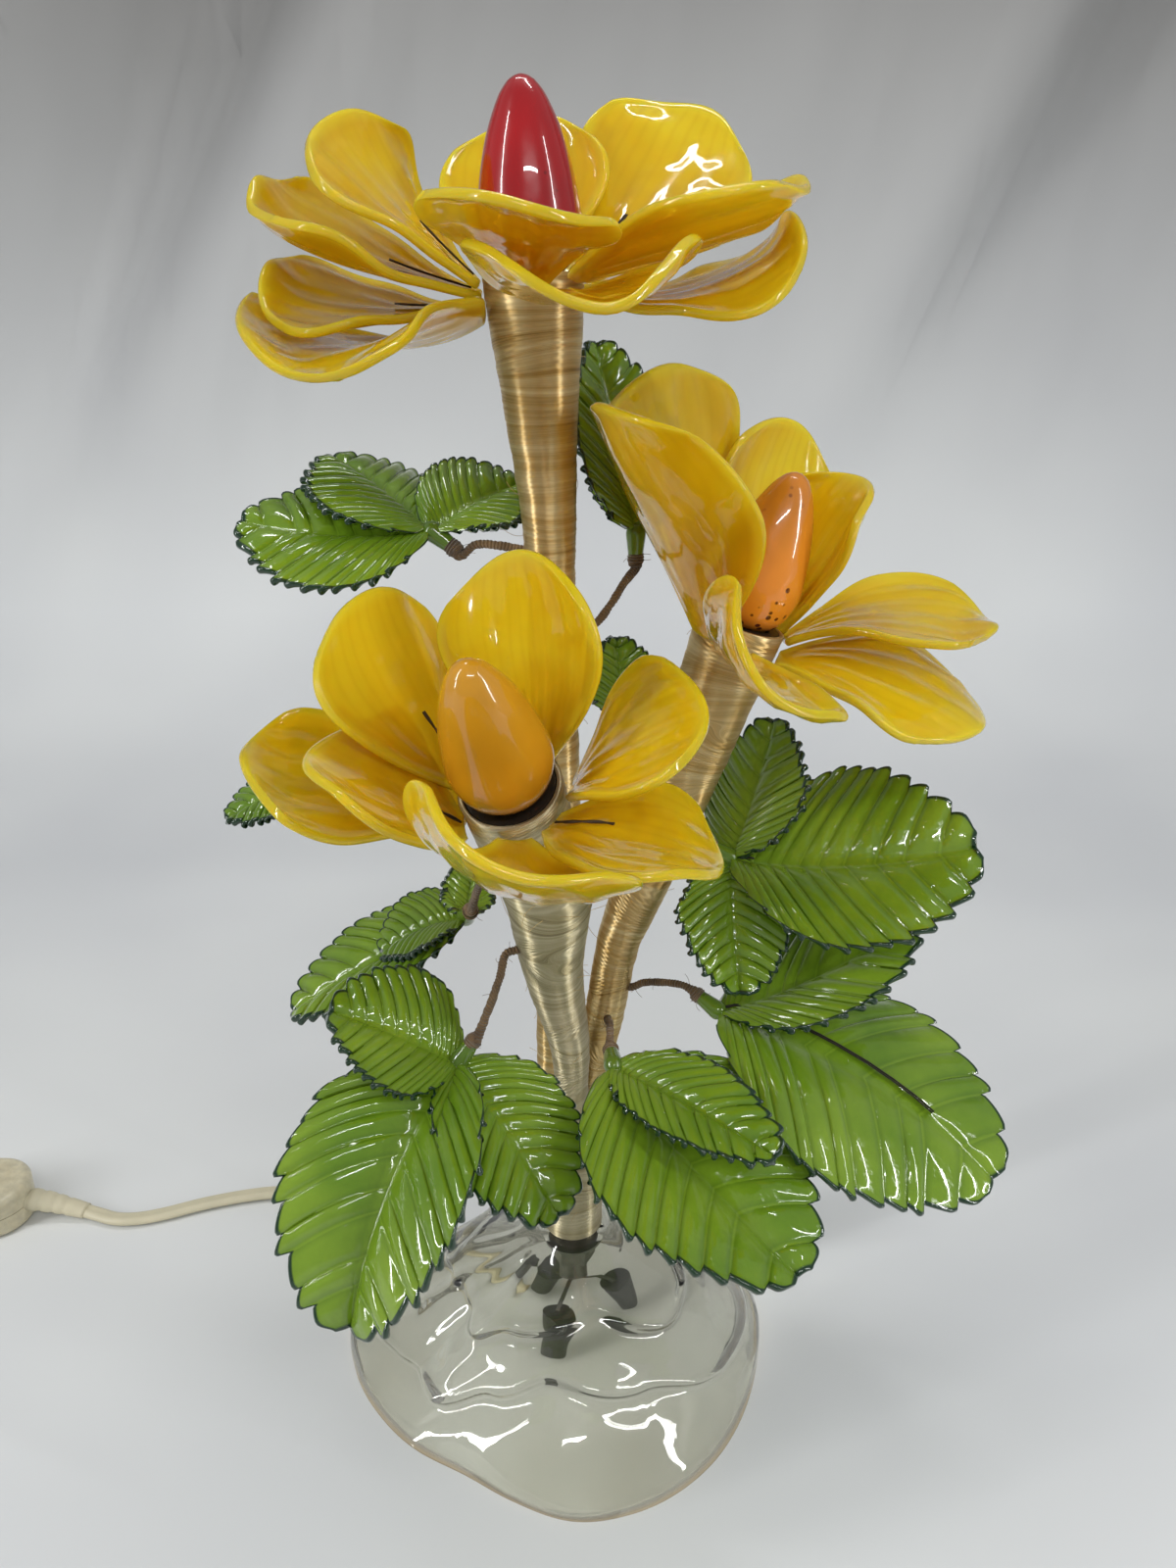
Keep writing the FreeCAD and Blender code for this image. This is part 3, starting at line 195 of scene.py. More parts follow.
class Shape:
    """Points, faces and marks of one piece, gathered part by part."""

    def __init__(self, *mark_names):
        self.spots = []
        self.faces = []
        self.marks = {name: [] for name in mark_names}

    def add_part(self, spots, faces, **marks):
        start = len(self.spots)
        self.spots += spots
        self.faces += [tuple(start + corner for corner in face) for face in faces]
        for name, values in self.marks.items():
            values += marks.get(name) or [0.0] * len(spots)

    def piece(self, name, material):
        return mesh_piece(name, self.spots, self.faces, material, self.marks)


def rings(loops, close=True):
    """Points and faces of a skin over loops of points, its ends closed by fans."""
    count = len(loops[0])
    spots = [spot for loop in loops for spot in loop]
    faces = []
    for row in range(len(loops) - 1):
        for k in range(count):
            k_next = (k + 1) % count
            low = row * count
            high = low + count
            faces.append((low + k, low + k_next, high + k_next, high + k))
    if close:
        for row in (0, len(loops) - 1):
            middle = sum(loops[row], Vector()) / count
            spots.append(middle)
            for k in range(count):
                faces.append((row * count + k, row * count + (k + 1) % count, len(spots) - 1))
    return spots, faces


def path_frames(points):
    """Direction and two cross directions at each point, carried along without twist."""
    frames = []
    side = None
    for k, point in enumerate(points):
        ahead = points[min(k + 1, len(points) - 1)] - points[max(k - 1, 0)]
        ahead.normalize()
        if side is None:
            side = ahead.orthogonal()
        side = (side - ahead * side.dot(ahead)).normalized()
        frames.append((ahead, side, ahead.cross(side)))
    return frames


def ring(centre, side, up, wide, high, around):
    """Points of an oval about a centre."""
    turns = [2 * math.pi * n / around for n in range(around)]
    return [centre + side * (wide * math.cos(turn)) + up * (high * math.sin(turn)) for turn in turns]


def tube(line, around=12):
    """Round skin along a line of (x, y, z, radius)."""
    points = [Vector(spot[:3]) for spot in line]
    return rings([
        ring(point, side, up, spot[3], spot[3], around)
        for point, spot, (_, side, up) in zip(points, line, path_frames(points))
    ])


def cubic(a, b, c, d, t):
    """Smooth value between b and c at share t, with a before them and d after."""
    return b + 0.5 * t * ((c - a) + t * ((2 * a - 5 * b + 4 * c - d) + t * (3 * (b - c) + d - a)))


def through(stations, steps):
    """Smooth line through stations of any length of numbers."""
    line = []
    last = len(stations) - 1
    for k in range(last):
        near = [stations[min(max(k + n, 0), last)] for n in (-1, 0, 1, 2)]
        for step in range(steps + (k == last - 1)):
            line.append([cubic(*values, step / steps) for values in zip(*near)])
    return line


def closed_sheet(middle, facing, half, bead):
    """Skin round a bent sheet given by rows of points, with a rounded rim."""
    rows = len(middle)
    columns = len(middle[0])
    spots = []
    for side in (1, -1):
        for i in range(rows):
            for j in range(columns):
                spots.append(middle[i][j] + facing[i][j] * (side * half[i][j]))
    faces = []
    for i in range(rows - 1):
        for j in range(columns - 1):
            near = i * columns + j
            face = (near, near + 1, near + columns + 1, near + columns)
            faces.append(face)
            faces.append(tuple(rows * columns + corner for corner in reversed(face)))
    border = [(0, j) for j in range(columns)]
    border += [(i, columns - 1) for i in range(1, rows)]
    border += [(rows - 1, j) for j in range(columns - 2, -1, -1)]
    border += [(i, 0) for i in range(rows - 2, 0, -1)]
    loops = [[i * columns + j for i, j in border]]
    for turn in (45, 90, 135):
        loop = []
        for i, j in border:
            inward = middle[min(max(i, 1), rows - 2)][min(max(j, 1), columns - 2)]
            out = (middle[i][j] - inward).normalized()
            lift = facing[i][j] * (half[i][j] * math.cos(math.radians(turn)))
            spots.append(middle[i][j] + out * (bead * math.sin(math.radians(turn))) + lift)
            loop.append(len(spots) - 1)
        loops.append(loop)
    loops.append([rows * columns + i * columns + j for i, j in border])
    for near, far in zip(loops, loops[1:]):
        for k in range(len(border)):
            k_next = (k + 1) % len(border)
            faces.append((near[k], near[k_next], far[k_next], far[k]))
    return spots, faces, border


def spread_marks(grid, border):
    """Per-point values for a closed sheet, from one value per grid point."""
    flat = [value for row in grid for value in row]
    rim = [grid[i][j] for i, j in border]
    return flat + flat + rim * 3


# Heads, stems and blades


def head_frame(rim, axis):
    z = Vector(axis).normalized()
    x = (Vector((1, 0, 0)) - z * z.x).normalized()
    return {"rim": Vector(rim), "x": x, "y": z.cross(x), "z": z}


def in_head(head, spot):
    return head["rim"] + head["x"] * spot.x + head["y"] * spot.y + head["z"] * spot.z


HEADS = {
    "top": head_frame((-9.5, 0, 387), (-0.05, 0, 1)),
    "right": head_frame((54, 7, 287), (0.31, 0, 0.95)),
    "front": head_frame((-15, -67.5, 262), (-0.17, -0.5, 0.85)),
}
CONE_RIM = 14.2
TRUNK_FOOT = 53.3
TRUNK_TOP = 104.3

# each stem: foot direction, way up as (x, y, z, radius), and the cone under its rim
STEMS = {
    "top": {
        "foot": 150,
        "way": [(-7, 5, 122, 5.9), (-6, 7, 150, 6.8), (-4, 6, 205, 7.4), (-5, 1, 262, 7.6)],
        "cone": [(76, 7.8), (38, 10.6), (16, 13.0)],
    },
    "right": {
        "foot": 30,
        "way": [(8, 5, 122, 5.9), (11, 4, 140, 6.9), (16, 4, 172, 7.6)],
        "cone": [(94, 9.6), (50, 12.0), (20, 13.4)],
    },
    "front": {
        "foot": 270,
        "way": [(0, -9, 122, 5.9), (-1, -13, 146, 7.2), (-5.5, -25, 180, 9.8)],
        "cone": [(50, 13.6), (20, 14.0)],
    },
}


def stem_stations(name):
    """Centres and radii of a wound stem, from the trunk up to the socket's mouth."""
    foot = polar(6.41, STEMS[name]["foot"], TRUNK_TOP + 0.3)
    head = HEADS[name]
    stations = [(*foot, 5.4), *STEMS[name]["way"]]
    for below, radius in STEMS[name]["cone"]:
        stations.append((*(head["rim"] - head["z"] * below), radius))
    stations.append((*head["rim"], CONE_RIM))
    return stations


def stem_centre(name, height):
    """Middle and radius of a stem at a height."""
    stations = stem_stations(name)
    for low, high in zip(stations, stations[1:]):
        if low[2] <= height <= high[2]:
            share = (height - low[2]) / (high[2] - low[2])
            x, y, z, radius = (a + (b - a) * share for a, b in zip(low, high))
            return Vector((x, y, z)), radius
    raise ValueError("no stem at that height")


MIDLINE_STEPS = 24
# a petal's width at its claw, as a share of its widest
CLAW_SHARE = 0.16


def midline(start, axes, row):
    """Points, directions and inner normals along the middle of a petal or leaflet."""
    line = []
    point = start.copy()
    step = row["length"] / MIDLINE_STEPS
    for index in range(MIDLINE_STEPS + 1):
        u = index / MIDLINE_STEPS
        climb = row["rise"] + (row["rise_tip"] - row["rise"]) * u
        climb = math.radians(climb + row.get("bow", 0) * 4 * u * (1 - u))
        heading = math.radians(row["head"] + row["swing"] * u)
        out = axes["x"] * math.cos(heading) + axes["y"] * math.sin(heading)
        along = out * math.cos(climb) + axes["z"] * math.sin(climb)
        inner = axes["z"] * math.cos(climb) - out * math.sin(climb)
        inner = turned(inner, along, row["roll"] + row["twist"] * u)
        line.append((point, along, inner))
        point = point + along * step
    return line


def along_midline(line, u):
    """Point, direction and inner normal at a share of a midline's length."""
    spot = min(max(u, 0.0), 1.0) * MIDLINE_STEPS
    low = min(int(spot), MIDLINE_STEPS - 1)
    point, along, inner = (a.lerp(b, spot - low) for a, b in zip(line[low], line[low + 1]))
    return point, along.normalized(), inner.normalized()


def petal_half_width(row, u):
    widest = row["widest"]
    if u < widest:
        swell = math.sin(math.pi / 2 * u / widest)
        share = CLAW_SHARE + (1 - CLAW_SHARE) * max(swell, 0.0) ** 1.15
    else:
        past = (u - widest) / (1 - widest)
        share = 1 - (1 - row["tip"]) * past * past
    return row["width"] / 2 * share


def petal_point(line, row, u, v):
    """Middle surface of a petal, v from -1 to 1 across it."""
    fall = (1 - row["widest"]) / (2 * (1 - row["tip"]))
    point_share = fall / (2 / row["tip"] + 3 * fall)
    spot, along, inner = along_midline(line, u * (1 - point_share * v * v * u * u))
    half = petal_half_width(row, u)
    lean = row["lean_right"] if v > 0 else row["lean_left"]
    cup = math.radians(row["cup"] * (0.35 + 0.65 * u) + lean * u)
    cup = cup if abs(cup) > 0.001 else 0.001
    across = along.cross(inner) * (half * math.sin(cup * v) / cup)
    return spot + across + inner * (half * (1 - math.cos(cup * v)) / cup)


def petal_line(name, row):
    """The petal's midline, its foot moved out from the wound cone to where its node is."""
    head = HEADS[name.split("_")[0]]
    turn = math.radians(row["at"])
    out = head["x"] * math.cos(turn) + head["y"] * math.sin(turn)
    start = head["rim"] + head["z"] * row["lift"] + out * CONE_RIM
    line = midline(start, head, row)
    spots = [petal_point(line, row, i / 16, j / 8 - 1) for i in range(17) for j in range(17)]
    low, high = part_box("petal_" + name)
    middle = (low + high) / 2
    shift = Vector()
    for axis in range(3):
        values = [place(spot)[axis] for spot in spots]
        shift[axis] = (middle[axis] - (min(values) + max(values)) / 2) * 1000
    return midline(start + out * shift.dot(out), head, row)


# How a petal's rim ruffles: height in mm, waves, where they start, and curls as (turn, width, lift);
# turns run round the rim from its left corner, -90, over the tip, 0, to its right corner, 90
RUFFLES = {
    "top_1": (2.0, 3, 40, [(62, 26, -3.0), (-15, 20, -2.0)]),
    "top_2": (1.6, 4, 0, [(0, 30, 5.0), (-62, 26, 3.0)]),
    "top_4": (1.8, 3, 90, [(5, 46, -4.5)]),
    "top_5": (2.4, 3, 20, [(50, 22, -3.5), (-35, 20, -2.5)]),
    "top_6": (2.4, 3, 130, [(0, 36, 5.0), (-55, 24, 3.0)]),
    "top_7": (2.2, 4, 60, [(-20, 24, 3.0)]),
    "top_8": (2.4, 3, 200, [(20, 30, 4.0)]),
    "top_9": (2.4, 3, 120, [(10, 34, 4.5), (-50, 22, 2.5)]),
    "top_10": (1.8, 4, 30, [(0, 30, 2.5)]),
    "right_1": (2.6, 4, 70, [(-45, 24, -3.0)]),
    "right_2": (2.0, 3, 20, [(40, 30, -3.0)]),
    "right_5": (1.8, 3, 80, [(0, 40, 2.0)]),
    "right_6": (2.0, 3, 10, [(10, 26, 3.5)]),
    "right_7": (2.0, 4, 100, [(-10, 24, -2.5)]),
    "front_3": (1.4, 3, 40, [(15, 30, -2.5)]),
    "front_4": (1.8, 3, 90, [(0, 34, -2.5)]),
    "front_7": (1.6, 3, 150, [(0, 36, 2.5)]),
}
PLAIN_RUFFLE = (1.1, 3, 60, [])


def ruffle(name, u, v, rim):
    """Lift of a petal towards its inner face near its rim, in millimetres."""
    height, waves, start, curls = RUFFLES.get(name, PLAIN_RUFFLE)
    turn = math.degrees(math.atan2(v, 2.0 * (u - 0.42)))
    near = 1 - smooth(0, 17, rim)
    lift = height * math.sin(math.radians(waves * turn + start))
    for at, width, curl in curls:
        lift += curl * math.exp(-(((turn - at) / width) ** 2))
    return lift * near * near * smooth(0.2, 0.55, u)


def grid_normals(spots):
    rows = len(spots)
    columns = len(spots[0])
    facing = []
    for i in range(rows):
        line = []
        for j in range(columns):
            along = spots[min(i + 1, rows - 1)][j] - spots[max(i - 1, 0)][j]
            side = spots[i][min(j + 1, columns - 1)] - spots[i][max(j - 1, 0)]
            line.append(side.cross(along).normalized())
        facing.append(line)
    return facing


def column(grid, number):
    """One value of each cell of a grid."""
    return [[cell[number] for cell in line] for line in grid]


def across_sheet(columns):
    """Places from -1 to 1 across a sheet, closer together towards its rims."""
    return [math.sin(math.pi / 2 * (2 * j / (columns - 1) - 1)) for j in range(columns)]


def petal_grid(name, row, sizes, rows=44, columns=31):
    """Rows of (u, v, point, distance from the rim) over a rippled petal, and its normals."""
    line = petal_line(name, row)
    seed = sum(ord(letter) for letter in name)
    across = across_sheet(columns)
    plain = []
    for i in range(rows):
        u = i / (rows - 1)
        plain.append([])
        for v in across:
            # the corners of the tip are rounded off
            corner = (u * v) ** 6
            plain[-1].append(petal_point(line, row, u * (1 - 0.07 * corner), v * (1 - 0.05 * corner)))
    facing = grid_normals(plain)
    grid = []
    for i in range(rows):
        u = i / (rows - 1)
        grid.append([])
        for j, v in enumerate(across):
            to_side = (1 - abs(v)) * petal_half_width(row, u)
            rim = min((1 - u) * row["length"], to_side, u * row["length"] + 2)
            fan = math.sin(v * 17 + seed + 1.6 * noise.noise(Vector((u * 3, v * 2, seed))))
            wave = noise.noise(Vector((u * 2.4, v * 1.8, seed * 0.37)))
            calm = smooth(0.5, 6, rim) * smooth(0.05, 0.3, u)
            push = calm * (sizes.rib_height * 1000 * fan + 0.9 * wave) + ruffle(name, u, v, rim)
            grid[-1].append((u, v, plain[i][j] + facing[i][j] * push, rim))
    return grid, facing


def leaflet_grid(hub, row, sizes, columns=27, steps=9):
    """Rows of (point, distance from the rim, pleat) over a folded leaflet.

    Each row runs along a side vein, from the midrib to the margin.
    """
    teeth = sizes.lobes
    axes = {"x": Vector((1, 0, 0)), "y": Vector((0, 1, 0)), "z": Vector((0, 0, 1))}
    line = midline(hub, axes, row)
    fold = math.radians(row["fold"])
    draw = random.Random(int(row["head"] * 7 + row["length"]))
    notches = [0.0] + [(k + draw.uniform(-0.2, 0.2)) / teeth for k in range(1, teeth)] + [1.0]
    tooth_sizes = [draw.uniform(0.6, 1.3) for _ in range(teeth)]
    places = []
    for low, high, tooth in zip(notches, notches[1:], tooth_sizes):
        places += [(low + (high - low) * step / steps, step / steps, tooth) for step in range(steps)]
    places.append((1.0, 0.0, 1.0))
    spacing = row["length"] / teeth
    grid = []
    for w, part, tooth in places:
        margin = 0.02 + 0.96 * w
        start = margin - 0.26 * math.sin(math.pi * margin)
        ends = smooth(0, 0.07, w) * smooth(0, 0.05, 1 - w)
        lobe = 1.25 * part ** 0.85 * (1 - part ** 14)
        half = row["width"] / 2 * math.sin(math.pi * margin ** 0.85) ** 0.7
        half += 1000 * sizes.lobe_depth * (lobe * tooth - 0.45) * ends
        pleat = max(math.sin(math.pi * part), 0.0) ** 0.75
        grid.append([])
        for v in across_sheet(columns):
            size = abs(v)
            ahead = start + (margin - start) * size ** 1.15
            ahead += 0.3 * spacing / row["length"] * lobe * size ** 3 * ends
            spot, along, inner = along_midline(line, min(ahead, 1.0))
            rim = min((1 - size) * half, (1 - w) * row["length"])
            depth = 1000 * sizes.pleat_height * (0.2 + 0.8 * smooth(0, 0.45, size)) * ends
            lift = half * size * math.sin(fold) + 0.07 * half * math.sin(math.pi * size)
            lift += depth * (0.4 + 0.6 * tooth) * (pleat - 0.55) - 0.9 * math.exp(-((v * half) / 1.3) ** 2)
            lift += 1.3 * size * size * noise.noise(Vector((w * 4, v, row["head"] * 0.1)))
            across = along.cross(inner) * (math.copysign(1, v) * half * size * math.cos(fold))
            grid[-1].append((spot + across + inner * lift, rim, pleat))
    return grid


# Petals: where each leaves its cone (lift and at), its heading and swing, its size, how it climbs at its
# claw and tip with a bow between them, its roll, twist and cup, how its two sides lean, where it is
# widest as a share of its length, and how wide its tip is as a share of that
PETALS = {
    "top_1": dict(
        lift=-2, at=187, head=185, swing=0, length=54, width=59, rise=40, rise_tip=62,
        bow=1, roll=-3, twist=-24, cup=20, lean_left=-16, lean_right=7, widest=0.77, tip=0.84,
    ),
    "top_2": dict(
        lift=-5, at=177, head=184, swing=11, length=65, width=60, rise=16, rise_tip=32,
        bow=0, roll=-4, twist=-20, cup=26, lean_left=2, lean_right=4, widest=0.72, tip=0.56,
    ),
    "top_3": dict(
        lift=-3.2, at=102, head=88, swing=-7, length=57, width=51, rise=43, rise_tip=63,
        bow=3, roll=-6, twist=-3, cup=28, lean_left=16, lean_right=-8, widest=0.69, tip=0.79,
    ),
    "top_4": dict(
        lift=-4.2, at=-92, head=-92, swing=7, length=68, width=45, rise=26, rise_tip=21,
        bow=-11, roll=-1, twist=-21, cup=29, lean_left=9, lean_right=-16, widest=0.79, tip=0.90,
    ),
    "top_5": dict(
        lift=-5.2, at=47, head=43, swing=5, length=75, width=53, rise=35, rise_tip=44,
        bow=2, roll=5, twist=34, cup=25, lean_left=4, lean_right=-5, widest=0.76, tip=0.79,
    ),
    "top_6": dict(
        lift=-2, at=-35, head=-28, swing=36, length=63, width=66, rise=10, rise_tip=18,
        bow=-2, roll=-8, twist=7, cup=41, lean_left=-4, lean_right=-6, widest=0.68, tip=0.75,
    ),
    "top_7": dict(
        lift=-5, at=-8, head=-11, swing=4, length=62, width=62, rise=-15, rise_tip=49,
        bow=-4, roll=5, twist=10, cup=2, lean_left=-13, lean_right=-11, widest=0.71, tip=0.72,
    ),
    "top_8": dict(
        lift=-7, at=-61, head=-80, swing=-6, length=69, width=61, rise=2, rise_tip=-18,
        bow=7, roll=4, twist=-15, cup=43, lean_left=27, lean_right=-2, widest=0.69, tip=0.78,
    ),
    "top_9": dict(
        lift=-9, at=-156, head=-162, swing=17, length=66, width=75, rise=-22, rise_tip=-7,
        bow=10, roll=30, twist=-54, cup=31, lean_left=-22, lean_right=2, widest=0.81, tip=0.88,
    ),
    "top_10": dict(
        lift=-8, at=175, head=180, swing=15, length=61, width=61, rise=-5, rise_tip=24,
        bow=-1, roll=3, twist=-30, cup=24, lean_left=-14, lean_right=-14, widest=0.73, tip=0.66,
    ),
    "right_1": dict(
        lift=-1, at=151, head=164, swing=7, length=72, width=73, rise=65, rise_tip=53,
        bow=2, roll=3, twist=-33, cup=22, lean_left=-3, lean_right=9, widest=0.78, tip=0.78,
    ),
    "right_2": dict(
        lift=-5, at=-137, head=-150, swing=-12, length=79, width=69, rise=55, rise_tip=44,
        bow=-8, roll=6, twist=7, cup=56, lean_left=-8, lean_right=3, widest=0.58, tip=0.71,
    ),
    "right_3": dict(
        lift=-6, at=73, head=88, swing=15, length=76, width=53, rise=43, rise_tip=75,
        bow=1, roll=19, twist=6, cup=28, lean_left=-2, lean_right=0, widest=0.76, tip=0.77,
    ),
    "right_4": dict(
        lift=-1, at=38, head=25, swing=-17, length=53, width=52, rise=83, rise_tip=57,
        bow=10, roll=2, twist=5, cup=47, lean_left=8, lean_right=-3, widest=0.76, tip=0.90,
    ),
    "right_5": dict(
        lift=-7, at=-90, head=-88, swing=-30, length=73, width=56, rise=0, rise_tip=18,
        bow=2, roll=3, twist=-39, cup=65, lean_left=0, lean_right=13, widest=0.82, tip=0.92,
    ),
    "right_6": dict(
        lift=-2, at=6, head=4, swing=-14, length=65, width=62, rise=43, rise_tip=-6,
        bow=2, roll=-10, twist=25, cup=19, lean_left=0, lean_right=-11, widest=0.74, tip=0.76,
    ),
    "right_7": dict(
        lift=-7, at=-22, head=-21, swing=-2, length=66, width=65, rise=30, rise_tip=-17,
        bow=-4, roll=13, twist=-2, cup=3, lean_left=-13, lean_right=-10, widest=0.65, tip=0.81,
    ),
    "front_1": dict(
        lift=-8.5, at=145, head=139, swing=-41, length=59, width=59, rise=38, rise_tip=57,
        bow=-1, roll=32, twist=30, cup=1, lean_left=-2, lean_right=-8, widest=0.70, tip=0.77,
    ),
    "front_2": dict(
        lift=-9, at=73, head=79, swing=7, length=58, width=56, rise=77, rise_tip=37,
        bow=0, roll=-16, twist=-18, cup=19, lean_left=-5, lean_right=0, widest=0.70, tip=0.83,
    ),
    "front_3": dict(
        lift=-4.5, at=0, head=4, swing=9, length=45, width=51, rise=57, rise_tip=14,
        bow=-5, roll=-24, twist=13, cup=27, lean_left=-3, lean_right=-10, widest=0.75, tip=0.82,
    ),
    "front_4": dict(
        lift=-4.5, at=-45, head=-26, swing=10, length=47, width=56, rise=28, rise_tip=-19,
        bow=-7, roll=-17, twist=-25, cup=29, lean_left=-8, lean_right=1, widest=0.68, tip=0.82,
    ),
    "front_5": dict(
        lift=-4, at=-86, head=-80, swing=-3, length=77, width=62, rise=18, rise_tip=73,
        bow=12, roll=-18, twist=-21, cup=60, lean_left=0, lean_right=8, widest=0.76, tip=0.74,
    ),
    "front_6": dict(
        lift=-9, at=-158, head=-180, swing=-25, length=45, width=60, rise=56, rise_tip=21,
        bow=7, roll=15, twist=23, cup=36, lean_left=5, lean_right=-3, widest=0.71, tip=0.89,
    ),
    "front_7": dict(
        lift=-13, at=172, head=171, swing=13, length=61, width=54, rise=21, rise_tip=27,
        bow=4, roll=10, twist=8, cup=23, lean_left=-1, lean_right=-1, widest=0.82, tip=0.76,
    ),
}


# Leaves: hub, the stem and height their wire enters, its way, and the leaflets
LEAVES = {
    "a": dict(
        hub=(-42, 5, 316), stem=("top", 311), way=[(-34, 3, 310), (-27, 3, 312)],
        leaflets=[
            dict(head=179, swing=-4, rise=-8, rise_tip=14, length=60, width=50, fold=-2, roll=-24, twist=-5),
            dict(head=138, swing=-2, rise=27, rise_tip=13, length=52, width=45, fold=-6, roll=-1, twist=0),
            dict(head=44, swing=-3, rise=22, rise_tip=9, length=38, width=35, fold=12, roll=20, twist=6),
        ],
    ),
    "b": dict(
        hub=(21, 24, 312), stem=("top", 281), way=[(21, 24, 304), (17, 19, 296), (10, 12, 287)],
        leaflets=[
            dict(head=121, swing=4, rise=65, rise_tip=69, length=62, width=40, fold=15, roll=4, twist=2),
            dict(head=78, swing=1, rise=40, rise_tip=36, length=36, width=32, fold=20, roll=0, twist=0),
        ],
    ),
    "c": dict(
        hub=(19, 26, 247), stem=("right", 235), way=[(20, 22, 238), (23, 14, 235)],
        leaflets=[
            dict(head=105, swing=1, rise=58, rise_tip=66, length=30, width=25, fold=11, roll=8, twist=3),
            dict(head=43, swing=0, rise=12, rise_tip=4, length=27, width=28, fold=15, roll=0, twist=0),
        ],
    ),
    "d": dict(
        hub=(-35, -10, 191), stem=("front", 224), way=[(-30, -23, 203), (-27, -27, 214)],
        leaflets=[
            dict(head=85, swing=-1, rise=28, rise_tip=36, length=23, width=16, fold=8, roll=-2, twist=-1),
            dict(head=182, swing=9, rise=-8, rise_tip=-42, length=32, width=33, fold=11, roll=-6, twist=-1),
            dict(head=187, swing=0, rise=-23, rise_tip=-35, length=69, width=40, fold=8, roll=-8, twist=-3),
        ],
    ),
    "e": dict(
        hub=(-87, 26, 229), stem=("top", 213), way=[(-76, 25, 223), (-50, 20, 219), (-28, 12, 215)],
        leaflets=[
            dict(head=196, swing=4, rise=-20, rise_tip=-26, length=37, width=28, fold=0, roll=-7, twist=-1),
            dict(head=86, swing=3, rise=14, rise_tip=9, length=27, width=28, fold=15, roll=0, twist=0),
        ],
    ),
    "f": dict(
        hub=(-35, -49, 161), stem=("front", 194), way=[(-25, -46, 175), (-22, -43, 186), (-20, -38, 193)],
        leaflets=[
            dict(head=181, swing=3, rise=34, rise_tip=21, length=44, width=43, fold=11, roll=-24, twist=4),
            dict(head=238, swing=3, rise=-20, rise_tip=-76, length=86, width=62, fold=24, roll=-8, twist=-3),
            dict(head=-45, swing=4, rise=-27, rise_tip=-48, length=57, width=46, fold=4, roll=1, twist=0),
        ],
    ),
    "g": dict(
        hub=(54, 4, 206), stem=("right", 212), way=[(49, 4, 209)],
        leaflets=[
            dict(head=-15, swing=4, rise=-2, rise_tip=22, length=82, width=72, fold=9, roll=14, twist=31),
            dict(head=56, swing=7, rise=44, rise_tip=63, length=52, width=40, fold=-1, roll=-17, twist=-3),
            dict(
                head=-93, swing=13, rise=-56, rise_tip=-47, length=47, width=37, fold=12, roll=-5, twist=-2,
            ),
        ],
    ),
    "h": dict(
        hub=(50, -16, 158), stem=("right", 157), way=[(43, -12, 162), (36, -8, 164), (26, -1, 160)],
        leaflets=[
            dict(
                head=-22, swing=-4, rise=-6, rise_tip=-41, length=106, width=84, fold=-5, roll=-3, twist=29,
            ),
            dict(head=4, swing=11, rise=15, rise_tip=36, length=76, width=42, fold=2, roll=4, twist=13),
        ],
    ),
    "i": dict(
        hub=(14, -41, 154), stem=("right", 147), way=[(13, -30, 154), (13, -20, 154), (13, -12, 151)],
        leaflets=[
            dict(head=-49, swing=6, rise=-27, rise_tip=-20, length=85, width=72, fold=10, roll=9, twist=-10),
            dict(head=-38, swing=-3, rise=0, rise_tip=-8, length=62, width=30, fold=10, roll=12, twist=5),
        ],
    ),
}


# Finishes, each named for the real material


def yellow_cast_acrylic(colours):
    """Cast acrylic sheet, dyed and heat-formed: it glows where light comes through, under a glassy skin."""
    material, tree, spot = new_material("Cast acrylic, yellow")
    cloud = add(tree, "noise", spot, 20, 3, 0.55, Distortion=0.5)
    clouds = [(0.3, colours.olive), (0.46, colours.yellow), (0.68, colours.lemon)]
    body = add(tree, "ramp", cloud, stops=clouds)
    along = add(tree, "mark", attribute_name="along")
    claw = add(tree, "ramp", along, stops=[(0.0, "C8C8C8"), (0.6, "000000")])
    body = add(tree, "mix", claw, body, colours.amber)
    # painted shade: the pressed ribs about 4 mm apart are painted as faint darker stripes, standing in for
    # the shade in their folds
    across = add(tree, "mark", attribute_name="across")
    turn = add(tree, "ADD", add(tree, "MULTIPLY", across, 38), add(tree, "MULTIPLY", cloud, 9))
    painted_rib_shade = add(tree, "MULTIPLY_ADD", add(tree, "SINE", turn), 0.5, 0.5)
    painted_rib_shade = add(tree, "MULTIPLY", add(tree, "POWER", painted_rib_shade, 3), 0.2)
    body = add(tree, "mix", painted_rib_shade, body, colours.olive)
    # painted glow: the rounded rim is painted lighter, standing in for the light that gathers in it
    edge = add(tree, "mark", attribute_name="rim")
    edge = add(tree, "ramp", edge, stops=[(0.1, "000000"), (1.0, "E0E0E0")])
    body = add(tree, "mix", edge, body, colours.rim)
    # soft ripples of the pressing, about 12 mm apart, bend the lamps' reflections into wavy lines
    ripple = add(tree, "noise", spot, 80, 1)
    return finish(material, {
        "Base Color": body, "Roughness": 0.14, "IOR": 1.18, "Transmission Weight": 0.5,
        "Specular IOR Level": 0.2, "Normal": add(tree, "bump", ripple, 0.0004),
        "Subsurface Weight": 0.6, "Subsurface Radius": (1.0, 0.7, 0.12), "Subsurface Scale": 0.005,
        "Coat Weight": 0.8, "Coat Roughness": 0.015, "Coat IOR": 1.45,
        "Coat Normal": add(tree, "bump", ripple, 0.0013),
    })


